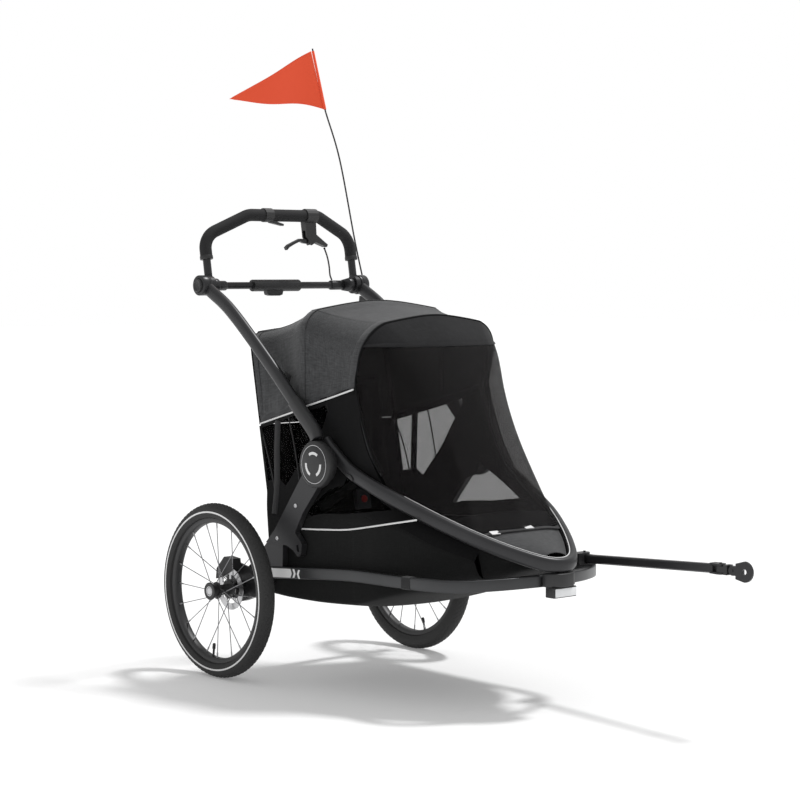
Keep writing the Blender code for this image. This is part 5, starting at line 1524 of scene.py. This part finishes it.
        def row(x_at: Callable[[float], float], top_half: float, mid_half: float, low_half: float,
                heights: tuple[float, ...]) -> list[Vector]:
            """One section: wall, belly, and the same on the other side.

            Args:
                x_at: place of the section at a height.
                top_half: half width at the top.
                mid_half: half width of the wall.
                low_half: half width of the belly.
                heights: top, two of the wall, belly seam and floor.

            Returns:
                The section's points.
            """
            top, high, knee, low, floor = heights
            half = [(top_half, top), (mid_half, high), (mid_half, knee), (low_half, low)]
            half += [(low_half - 0.002, floor + 0.045), (low_half - 0.030, floor + 0.008)]
            half.append((0.0, floor - 0.006))
            return mirrored([at(x_at(z), y, z) for y, z in half])

        wide = CABIN_HALF + 0.003
        rows = [row(lambda z: min(0.098, rear_x(z)), 0.215, 0.219, CABIN_HALF,
                    (0.6204, 0.55, 0.47, 0.40, 0.196))]
        sides = (
            (0.150, 0.2230, 0.222, (0.6505, 0.57, 0.48, 0.40, 0.195)),
            (0.220, 0.2280, 0.222, (0.6704, 0.60, 0.50, 0.40, 0.195)),
            (0.285, 0.2228, WALL_HALF, (0.6885, 0.625, 0.54, 0.42, 0.197)),
            (0.395, 0.2140, WALL_HALF, (0.7204, 0.565, 0.50, 0.43, 0.204)),
            (0.420, WALL_HALF, WALL_HALF, (0.634, 0.550, 0.49, 0.43, 0.207)),
            (0.450, WALL_HALF, WALL_HALF, (0.568, 0.530, 0.48, 0.43, 0.213)),
            (0.500, beside_tube(0.5), beside_tube(0.5), (0.500, 0.490, 0.458, 0.42, 0.227)),
        )
        for x, top_half, mid_half, heights in sides:
            rows.append(row(lambda z, x=x: x, top_half, mid_half, wide, heights))
        for x, low_half, floor in ((0.560, 0.222, 0.243), (0.654, 0.196, 0.266), (0.731, 0.140, 0.293)):
            z, half = tube_at(x)[1], beside_tube(x)
            heights = (z + 0.003, z - 0.004, z - 0.024, z - 0.050, floor)
            rows.append(row(lambda z, x=x: x, half, half, low_half, heights))
        return rows

    def inside_window(self, x: float, z: float) -> bool:
        """Whether a place lies within one of the windows' outlines.

        Args:
            x: distance from the wheel axle.
            z: height.

        Returns:
            True inside a window.
        """
        inside = False
        for (x0, z0), (x1, z1) in self.window_sides():
            if (z0 > z) != (z1 > z) and x < (x1 - x0) * (z - z0) / (z1 - z0) + x0:
                inside = not inside
        return inside

    def window_sides(self) -> list[tuple[tuple[float, float], tuple[float, float]]]:
        """Each side of the windows' outlines, as its two ends."""
        return [ends for window in self.windows for ends in zip(window, window[1:] + window[:1])]

    def tub(self) -> None:
        """Walls with netting windows, the rear wall and the belly."""
        rows = self.tub_rows()
        parts = {"wall_left": (0, 3), "belly": (3, 9), "wall_right": (9, 12)}
        body = []
        for name, (first, last) in parts.items():
            shape = self.straight(rows, first, last)
            if name == "belly":
                belly = make(draped(shape, 90, 60), "cabin_belly", BELLY_CLOTH, "chassis", Slot.DARK_FABRIC,
                             ("cabin_tub",), self.skin, False)
                cut_sheet(belly, Held.STRETCHED)
                continue
            wall = draped(shape, 90, 30)
            for (x0, z0), (x1, z1) in self.window_sides():
                normal = Vector((z1 - z0, 0, x0 - x1))
                bmesh.ops.bisect_plane(wall, geom=wall.verts[:] + wall.edges[:] + wall.faces[:],
                                       plane_co=at(x0, 0, z0), plane_no=normal, dist=WELD)
            net = wall.copy()
            body.append((name, wall, net))
        for name, wall, net in body:
            for mesh, keep in ((wall, False), (net, True)):
                gone = []
                for face in mesh.faces:
                    middle = face.calc_center_median()
                    if self.inside_window(middle.x - AXLE_X, middle.z) != keep:
                        gone.append(face)
                bmesh.ops.delete(mesh, geom=gone, context="FACES")
            piece = make(wall, f"cabin_{name}", SIDE_CLOTH, "chassis", Slot.DARK_FABRIC, (), self.skin, False)
            cut_sheet(piece, Held.STRETCHED)
            screen = make(net, name.replace("wall", "window"), WINDOW_NET, "chassis", Slot.DARK_FABRIC, (),
                          0.0006, False)
            cut_sheet(screen, Held.STRETCHED)
        self.rear_wall(rows[0])

    def straight(self, rows: list[list[Vector]], first: int, last: int) -> Surface:
        """Surface over part of the rows, from the first point to the last.

        Args:
            rows: the sections.
            first: index of the first point.
            last: index of the last point.

        Returns:
            The surface.
        """
        step = 1 if last > first else -1
        return loft([[row[i] for i in range(first, last + step, step)] for row in rows])

    def rear_wall(self, row: list[Vector]) -> None:
        """Lower rear wall with its pocket.

        Args:
            row: the rearmost section of the lower body.
        """
        half = len(row) // 2

        def shape(u: float, v: float) -> Vector:
            """The wall: u across and v down.

            Args:
                u: share along the surface's first direction.
                v: share along its second.

            Returns:
                The point.
            """
            left, right = curve_point(row[:half + 1], v), curve_point(list(reversed(row[half:])), v)
            belly = 0.005 * math.sin(math.pi * u) * math.sin(math.pi * v)
            return left.lerp(right, u) + Vector((-belly, 0, 0))

        wall = make(draped(shape, 48, 60), "rear_wall", SIDE_CLOTH, "chassis", Slot.DARK_FABRIC, (), self.skin,
                    False)
        cut_sheet(wall, Held.STRETCHED)

        def pocket(u: float, v: float) -> Vector:
            """A flat pocket on the wall that gapes at its top.

            Args:
                u: share along the surface's first direction.
                v: share along its second.

            Returns:
                The point.
            """
            point = shape(0.12 + 0.76 * u, 0.22 + 0.34 * v)
            gape = 0.010 * (1 - v) ** 2 * math.sin(math.pi * u) + 0.0018
            return point + Vector((-gape, 0, 0))

        bag = make(draped(pocket, 36, 20), "rear_pocket", BELLY_CLOTH, "chassis", Slot.DARK_FABRIC, (),
                   self.skin, False)
        hem = [pocket(i / 30, 0.0) for i in range(31)]
        binding = make(tape(hem, 0.008, 0.0026, Vector((-1, 0, 0))), "rear_pocket_hem", WEBBING, "chassis",
                       Slot.DARK_FABRIC)
        cut_sheet(bag, Held.HUNG)

    def piping(self, side: int, label: str) -> None:
        """Light piping under the roof and along the belly's seam, and the dark corner band.

        Args:
            side: 1 on the left and -1 on the right.
            label: the side's name.
        """
        upper = [(0.035, 0.2160, 0.6222), (0.107, 0.2215, 0.640), (0.182, 0.2265, 0.659),
                 (0.220, 0.2287, 0.671), (0.274, 0.2262, 0.686), (0.330, 0.2210, 0.702),
                 (0.395, 0.2158, 0.7212)]
        lower = [(0.208, 0.2322, 0.3790), (0.300, 0.2324, 0.3850), (0.393, 0.2326, 0.3930),
                 (0.470, 0.2322, 0.4060), (0.540, 0.2290, 0.4190), (0.614, 0.2110, 0.4330)]
        seam = smooth_line([at(x, side * (y - 0.0050), z - 0.001) for x, y, z in upper], 8)
        make(tape(seam, 0.016, 0.0020, LEFTWARD * side), f"roof_seam_{label}", SIDE_CLOTH, "chassis",
             Slot.DARK_FABRIC)
        for name, places in (("upper", upper), ("lower", lower)):
            line = smooth_line([at(x, side * y, z) for x, y, z in places], 8)
            make(carried(line, round_outline(0.0022, 10), UPWARD), f"{name}_piping_{label}",
                 WHITE_LINE, "chassis", Slot.REFLECTOR)
        band = [at(rear_x(z) + 0.004, side * 0.2195, z) for z in (0.618, 0.55, 0.48, 0.42, 0.36)]
        make(tape(smooth_line(band, 6), 0.009, 0.0022, LEFTWARD * side), f"corner_band_{label}",
             BELLY_CLOTH, "chassis", Slot.DARK_FABRIC)

    def strap(self, side: int, label: str) -> None:
        """Strap from the roof's seam down to the fold hub, and the window's upright strap.

        Args:
            side: 1 on the left and -1 on the right.
            label: the side's name.
        """
        y = side * 0.2300
        run = smooth_line([at(0.160, y, 0.735), at(0.205, y + side * 0.002, 0.690),
                           at(0.250, side * 0.2330, 0.645), at(0.292, side * 0.2345, 0.598)], 8)
        tab = tape([at(0.168, y, 0.752), at(0.160, y, 0.735), at(0.154, y, 0.722)], 0.026, 0.0022,
                   LEFTWARD * side)
        make(joined([tape(run, 0.014, 0.0018, LEFTWARD * side), tab]), f"tension_strap_{label}", WEBBING,
             "chassis", Slot.DARK_FABRIC)
        shape = self.straight(self.tub_rows(), *((0, 3) if side > 0 else (12, 9)))
        out = Vector((0, side * 0.0014, 0))
        bands = []
        for u, lean, width in ((0.0665, -0.02, 0.022), (0.002, 0.055, 0.004), (0.113, 0.090, 0.004)):
            run = [shape(u + lean * i / 20, 0.03 + 0.94 * i / 20) + out for i in range(21)]
            bands.append(tape(run, width, 0.0018, LEFTWARD * side))
        make(joined(bands), f"window_bands_{label}", WEBBING, "chassis", Slot.DARK_FABRIC)


SCREEN_SHARES = (0.0, 0.06, 0.13, 0.2, 0.32, 0.45, 0.6, 0.8, 1.0)
FULLEST = 0.2


@dataclass
class Front:
    """Visor, sheer screen and the nose panel with its hem and tabs.

    Args:
        swell: how far the screen stands out below the front bow.
        waist: share by which its sides pull in halfway down.
    """

    swell: float = 0.026
    waist: float = 0.30

    def build(self) -> None:
        """Make the front covers."""
        self.screen()
        self.nose_panel()
        self.nose_under()

    def rows(self) -> list[list[Vector]]:
        """Sections of the screen, from the front bow down to the nose.

        Returns:
            The sections.
        """
        half = WALL_HALF + 0.0003
        leg = [at(0.506, half, 0.512), at(0.474, half, 0.548), at(0.446, half, 0.596), at(0.420, half, 0.656),
               at(0.401, half, 0.715)]
        roof = FRONT_ROOF.row(FRONT_SEAM + 0.02, lambda z: front_x(z) + 0.002)
        upper = leg + roof[:len(roof) // 2 + 1]
        side_points = len(upper) - 5
        lower = []
        for i in range(side_points):
            x = 0.512 + 0.212 * i / (side_points - 1)
            y, z = tube_at(x)
            lower.append(at(x, y - TUBE_SIDE - 0.0012, z + 0.012))
        corner = lower[-1]
        for i in range(1, 6):
            x, y = corner.x + 0.020 * i / 5, corner.y * (1 - i / 5)
            lower.append(Vector((x, y, panel_z(x - AXLE_X, y) + 0.0030)))
        upper, lower = mirrored(upper), mirrored(lower)
        rows = []
        for share in SCREEN_SHARES:
            swell = math.sin(share / FULLEST * math.pi / 2)
            if share > FULLEST:
                swell = math.cos((share - FULLEST) / (1 - FULLEST) * math.pi / 2)
            rows.append([self.stretched(high, low, share, swell) for high, low in zip(upper, lower)])
        return rows

    def stretched(self, high: Vector, low: Vector, share: float, swell: float) -> Vector:
        """A point of the screen between the bow and the nose.

        Args:
            high: its point on the bow.
            low: its point at the nose.
            share: how far down it lies.
            swell: share of the full swell.

        Returns:
            The point.
        """
        lift = min(1.0, max(0.0, (high.z - 0.60) / 0.25))
        pull = min(1.0, max(0.0, (high.z - 0.52) / 0.20)) * math.sin(math.pi * share)
        point = high.lerp(low, share) + Vector((0.97, 0, 0.26)) * self.swell * swell * lift
        point.y *= 1 - self.waist * pull
        return point

    def screen(self) -> None:
        """One stretched surface, cut at the visor's hem into the visor and the sheer screen."""
        rows = self.rows()

        def shape(u: float, v: float) -> Vector:
            """The surface: u down from the bow and v across.

            Args:
                u: share along the surface's first direction.
                v: share along its second.

            Returns:
                The point.
            """
            for i, (start, end) in enumerate(zip(SCREEN_SHARES, SCREEN_SHARES[1:])):
                if u <= end:
                    share = (i + (u - start) / (end - start)) / (len(SCREEN_SHARES) - 1)
                    return curve_point([curve_point(row, v) for row in rows], share)
            return curve_point(rows[-1], v)

        whole = draped(shape, 96, 96)
        seam = bmesh.ops.bisect_plane(whole, geom=whole.verts[:] + whole.edges[:] + whole.faces[:],
                                      plane_co=(0, 0, VISOR_HEM), plane_no=(0, 0, 1), dist=WELD)
        hem = sorted((item.co.copy() for item in seam["geom_cut"] if isinstance(item, bmesh.types.BMVert)),
                     key=lambda p: p.y)
        visor = whole.copy()
        for mesh, above in ((whole, False), (visor, True)):
            gone = [f for f in mesh.faces if (f.calc_center_median().z > VISOR_HEM) != above]
            bmesh.ops.delete(mesh, geom=gone, context="FACES")
        net = make(whole, "sheer_screen", SCREEN_NET, "chassis", Slot.DARK_FABRIC, ("front_screen",), 0.0006,
                   False)
        shade = make(visor, "visor", VISOR_CLOTH, "chassis", Slot.DARK_FABRIC, (), 0.0016, False)
        edge = []
        for point in hem:
            if not edge or (point - edge[-1]).length > 0.004:
                edge.append(point)
        edge = [p + Vector((0.0012, 0, 0.0006)) for p in edge]
        line = make(tape(edge, 0.011, 0.0022, Vector((0.87, 0, 0.49))), "visor_hem", VISOR_CLOTH, "chassis",
                    Slot.DARK_FABRIC)
        cut_sheet(net, Held.STRETCHED)
        cut_sheet(shade, Held.STRETCHED)
        binding = seam_line(shape, 1.0, 0.02, 120)
        make(carried(binding, round_outline(0.0024, 8), UPWARD), "screen_binding", SIDE_CLOTH,
             "chassis", Slot.DARK_FABRIC)
        lift = [settled(p, -0.0012) for p in seam_line(shape, 0.004, 0.02, 120)]
        make(carried(lift, round_outline(0.0022, 8), FORWARD),
             "bow_binding", SIDE_CLOTH, "chassis", Slot.DARK_FABRIC)

    def nose_panel(self) -> None:
        """Grey nose panel, the screen's hem across it and two light pull tabs."""
        rows = []
        for x in (0.660, 0.700, 0.740, 0.780, 0.815, 0.845):
            half = beside_tube(x)
            rows.append([at(x, half * j / 4, panel_z(x, half * j / 4)) for j in range(-4, 5)])
        shape = loft(rows)
        panel = make(draped(shape, 48, 60), "nose_cloth", CANOPY_CLOTH, "chassis", Slot.GREY_FABRIC,
                     ("nose_panel",), 0.0012, False)
        cut_sheet(panel, Held.STRETCHED)
        hem = [(0.721, -0.128), (0.736, -0.118), (0.739, -0.078), (0.745, 0.0), (0.739, 0.078),
               (0.736, 0.118), (0.721, 0.128)]
        line = smooth_line([at(x, y, panel_z(x, y) + 0.0042) for x, y in hem], 10)
        make(tape(line, 0.013, 0.0026, Vector((0.3, 0, 1))), "screen_hem", WEBBING, "chassis",
             Slot.DARK_FABRIC)
        tabs = []
        for y in (-0.086, 0.020):
            run = [at(x, y, panel_z(x, y) + 0.0062) for x in (0.735, 0.741, 0.747)]
            tabs.append(tape(run, 0.026, 0.0016, UPWARD))
        make(joined(tabs), "pull_tabs", WHITE_LINE, "chassis", Slot.REFLECTOR)

    def nose_under(self) -> None:
        """The belly's cloth where it closes the cabin under the nose panel."""
        rows = []
        for x, floor in ((0.729, 0.288), (0.760, 0.301), (0.790, 0.314), (0.820, 0.325)):
            z, half = tube_at(x)[1], beside_tube(x)
            side = [(half, z - 0.004), (half, z - 0.024), (half - 0.004, (z + floor) / 2),
                    (half * 0.78, floor + 0.004), (0.0, floor)]
            rows.append(mirrored([at(x, y, max(floor, height)) for y, height in side]))
        under = make(draped(loft(rows), 30, 48), "nose_under", BELLY_CLOTH, "chassis", Slot.DARK_FABRIC, (),
                     0.0012, False)
        cut_sheet(under, Held.STRETCHED)


@dataclass
class Seat:
    """Padded seat and back with sewn channels, and the harness.

    Args:
        half: half width of the pads.
    """

    half: float = 0.136

    def __post_init__(self) -> None:
        """Find the directions of the sloping seat back."""
        self.foot = at(0.170, 0, 0.395)
        self.rise = (at(0.100, 0, 0.735) - self.foot).normalized()
        self.out = Vector((self.rise.z, 0, -self.rise.x))

    def build(self) -> None:
        """Make the cushions and the harness."""
        low = at(0.164, 0, 0.395)
        high = at(0.090, 0, 0.735)
        depth = 0.024
        middle = low.lerp(high, 0.5) - self.out * (depth + 0.001)
        back = self.cushion(middle, LEFTWARD * self.half, (high - low) / 2, self.out * depth, 4)
        piece = make(back, "seat_back", SEAT_CLOTH, "chassis", Slot.GREY_FABRIC, ("seat",))
        middle = at(0.296, 0, 0.367)
        along = Vector((0.122, 0, -0.004))
        base = self.cushion(middle, LEFTWARD * self.half, along, Vector((0, 0, 0.022)), 3)
        piece = make(base, "seat_base", SEAT_CLOTH, "chassis", Slot.GREY_FABRIC)
        self.harness()

    def cushion(self, middle: Vector, across: Vector, along: Vector, up: Vector,
                channels: int) -> bmesh.types.BMesh:
        """A crowned pad whose sides pull in between its corners.

        Args:
            middle: its middle.
            across: half its width, as a direction.
            along: half its length, as a direction.
            up: half its thickness, as a direction.
            channels: sewn channels across it.

        Returns:
            A closed mesh.
        """
        bm = bmesh.new()
        bmesh.ops.create_cube(bm, size=2.0)
        bmesh.ops.subdivide_edges(bm, edges=bm.edges[:], cuts=27, use_grid_fill=True)
        for vert in bm.verts:
            u, v, w = vert.co
            crown = (max(0.0, 1 - abs(u) ** 3.2) * max(0.0, 1 - abs(v) ** 3.2)) ** 0.45
            seam = abs(math.sin((v + 1) / 2 * channels * math.pi)) ** 0.45 if abs(v) < 0.999 else 0.0
            full = 0.10 + 0.90 * crown * (0.80 + 0.20 * seam)
            pull_u = 1 - 0.022 * (1 - v * v) - 0.05 * abs(w) ** 6 * abs(u) ** 8
            pull_v = 1 - 0.022 * (1 - u * u) - 0.05 * abs(w) ** 6 * abs(v) ** 8
            crease = 0.0011 * math.sin(31 * u + 5 * v) * (1 - seam) * crown
            vert.co = middle + across * (u * pull_u) + along * (v * pull_v) + up * (w * full) \
                + up.normalized() * crease
        return bm

    def on_back(self, along: float, y: float, lift: float) -> Vector:
        """A place up the seat back, across it, and out from it."""
        return self.foot + self.rise * along + self.out * lift + Vector((0, y, 0))

    def harness(self) -> None:
        """Shoulder and lap webbing that meets at the buckle."""
        parts = []
        for side, _ in SIDES:
            shoulder = [self.on_back(0.318, side * 0.058, 0.0020), self.on_back(0.24, side * 0.047, 0.0052),
                        self.on_back(0.16, side * 0.032, 0.0060), self.on_back(0.075, side * 0.013, 0.0034)]
            lap = [self.on_back(0.026, side * 0.134, 0.0026), self.on_back(0.045, side * 0.080, 0.0058),
                   self.on_back(0.079, side * 0.012, 0.0038)]
            for run in (shoulder, lap):
                parts.append(tape(smooth_line(run, 8), 0.022, 0.0016, self.out))
            pad = [self.on_back(0.27, side * 0.0515, 0.0085), self.on_back(0.20, side * 0.040, 0.0100),
                   self.on_back(0.14, side * 0.0285, 0.0080)]
            parts.append(tape(smooth_line(pad, 8), 0.034, 0.0065, self.out))
        make(joined(parts), "harness_webbing", WEBBING, "chassis", Slot.DARK_FABRIC, ("harness",))


# ---------------------------------------------------------------- kept CAD pieces
KEPT = (
    (POWDER, 0.0012, ("axle_beam", "leg_left", "leg_right", "tow_arm", "tow_bracket", "hitch_knuckle",
                      "hitch_plate", "brake_lever", "brake_arm_left", "brake_arm_right")),
    (MOULDING, 0.0008, ("fold_hub_inner_left", "fold_hub_inner_right", "fold_grip", "fold_trigger",
                        "brake_clamp", "bar_clip", "flag_holder", "buckle", "brake_calliper_left",
                        "brake_calliper_right")),
    (STEEL, 0.0003, ("wheel_axle_left", "wheel_axle_right", "axle_button_left", "axle_button_right",
                     "brake_disc_left", "brake_disc_right")),
    (RED, 0.0010, ("buckle_button",)),
)


def dress_kept_nodes() -> None:
    """Give every CAD node that stays its finish and softened edges."""
    for finish, bevel, names in KEPT:
        for name in names:
            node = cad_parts[name]
            for place in node.material_slots:
                place.material = finish.material()
            if not node.material_slots:
                LOG.warning("%s has no material slot", name)
            edge = node.modifiers.new("soft_edges", "BEVEL")
            edge.width = bevel
            edge.segments = 2
            edge.limit_method = "ANGLE"
            edge.angle_limit = SOFT_EDGE
            LOG.info("%s: dressed as %s", name, finish.name)


# ---------------------------------------------------------------- studio
@dataclass
class Studio:
    """Pale floor, soft light and the camera.

    Args:
        camera_place: where the camera stands.
        lens: its focal length, in millimetres.
        yaw: direction that it looks in, in degrees from +X.
        pitch: how far it looks up, in degrees.
        world_light: strength of the surroundings' light.
        sun_light: strength of the sun.
        sun_width: angle of the sun's disc, in degrees.
        sun_towards: direction that it shines in.
        floor_reach: half size of the floor.
        floor_colour: the floor's grey.
        floor_glow: the floor's own light.
        size: width and height of the view.
    """

    camera_place: tuple[float, float, float] = (3.9717, -3.4725, 0.9964)
    lens: float = 98.226
    yaw: float = 139.06
    pitch: float = -3.364
    world_light: float = 0.58
    sun_light: float = 2.0
    sun_width: float = 8
    sun_towards: tuple[float, float, float] = (-0.08, -0.42, -0.90)
    floor_reach: float = 30.0
    floor_colour: float = 0.86
    floor_glow: float = 0.15
    size: int = 800

    def build(self) -> None:
        """Set up the stage."""
        self.floor()
        self.world()
        self.sun()
        self.camera()

    def floor(self) -> None:
        """Pale floor that glows a little, so that it reads as white paper."""
        bm = bmesh.new()
        bmesh.ops.create_grid(bm, x_segments=8, y_segments=8, size=self.floor_reach)
        mesh = bpy.data.meshes.new("floor")
        bm.to_mesh(mesh)
        bm.free()
        floor = bpy.data.objects.new("floor", mesh)
        bpy.context.scene.collection.objects.link(floor)
        material = bpy.data.materials.new("pale_floor")
        material.use_nodes = True
        shader = material.node_tree.nodes["Principled BSDF"]
        shader.inputs["Base Color"].default_value = (*[self.floor_colour] * 3, 1)
        shader.inputs["Roughness"].default_value = 0.9
        shader.inputs["Specular IOR Level"].default_value = 0.1
        shader.inputs["Emission Color"].default_value = (1, 1, 1, 1)
        shader.inputs["Emission Strength"].default_value = self.floor_glow
        mesh.materials.append(material)

    def world(self) -> None:
        """Even white surroundings, pure white where the camera sees them."""
        world = bpy.data.worlds.new("surroundings")
        bpy.context.scene.world = world
        world.use_nodes = True
        tree = world.node_tree
        tree.nodes.clear()
        path = tree.nodes.new("ShaderNodeLightPath")
        mix = tree.nodes.new("ShaderNodeMixShader")
        out = tree.nodes.new("ShaderNodeOutputWorld")
        tree.links.new(path.outputs["Is Camera Ray"], mix.inputs["Fac"])
        for socket, strength in ((1, self.world_light), (2, 1.0)):
            light = tree.nodes.new("ShaderNodeBackground")
            light.inputs["Color"].default_value = (1, 1, 1, 1)
            light.inputs["Strength"].default_value = strength
            tree.links.new(light.outputs["Background"], mix.inputs[socket])
        tree.links.new(mix.outputs["Shader"], out.inputs["Surface"])

    def sun(self) -> None:
        """A soft sun from high up behind the object."""
        lamp = bpy.data.lights.new("key", "SUN")
        lamp.energy = self.sun_light
        lamp.angle = math.radians(self.sun_width)
        key = bpy.data.objects.new("key", lamp)
        bpy.context.scene.collection.objects.link(key)
        key.rotation_euler = (-Vector(self.sun_towards)).to_track_quat("Z", "Y").to_euler()

    def camera(self) -> None:
        """Camera at the object's front left, low and far away."""
        data = bpy.data.cameras.new("camera")
        data.lens = self.lens
        data.sensor_width = 36
        data.clip_end = 100
        camera = bpy.data.objects.new("camera", data)
        bpy.context.scene.collection.objects.link(camera)
        camera.location = self.camera_place
        yaw, pitch = math.radians(self.yaw), math.radians(self.pitch)
        ahead = Vector((math.cos(yaw) * math.cos(pitch), math.sin(yaw) * math.cos(pitch), math.sin(pitch)))
        camera.rotation_euler = ahead.to_track_quat("-Z", "Y").to_euler()
        scene = bpy.context.scene
        scene.camera = camera
        scene.render.resolution_x = self.size
        scene.render.resolution_y = self.size
        scene.view_settings.view_transform = "Standard"


def main() -> None:
    """Build every sub-assembly in order and note its pieces."""
    logging.basicConfig(level=logging.INFO, format="%(name)s: %(message)s")
    for side, label in SIDES:
        Wheel(side, label).build()
    Chassis().build()
    UpperFrame().build()
    Handle().build()
    Cover().build()
    Front().build()
    Seat().build()
    dress_kept_nodes()
    Studio().build()
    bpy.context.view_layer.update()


if __name__ == "__main__":
    main()
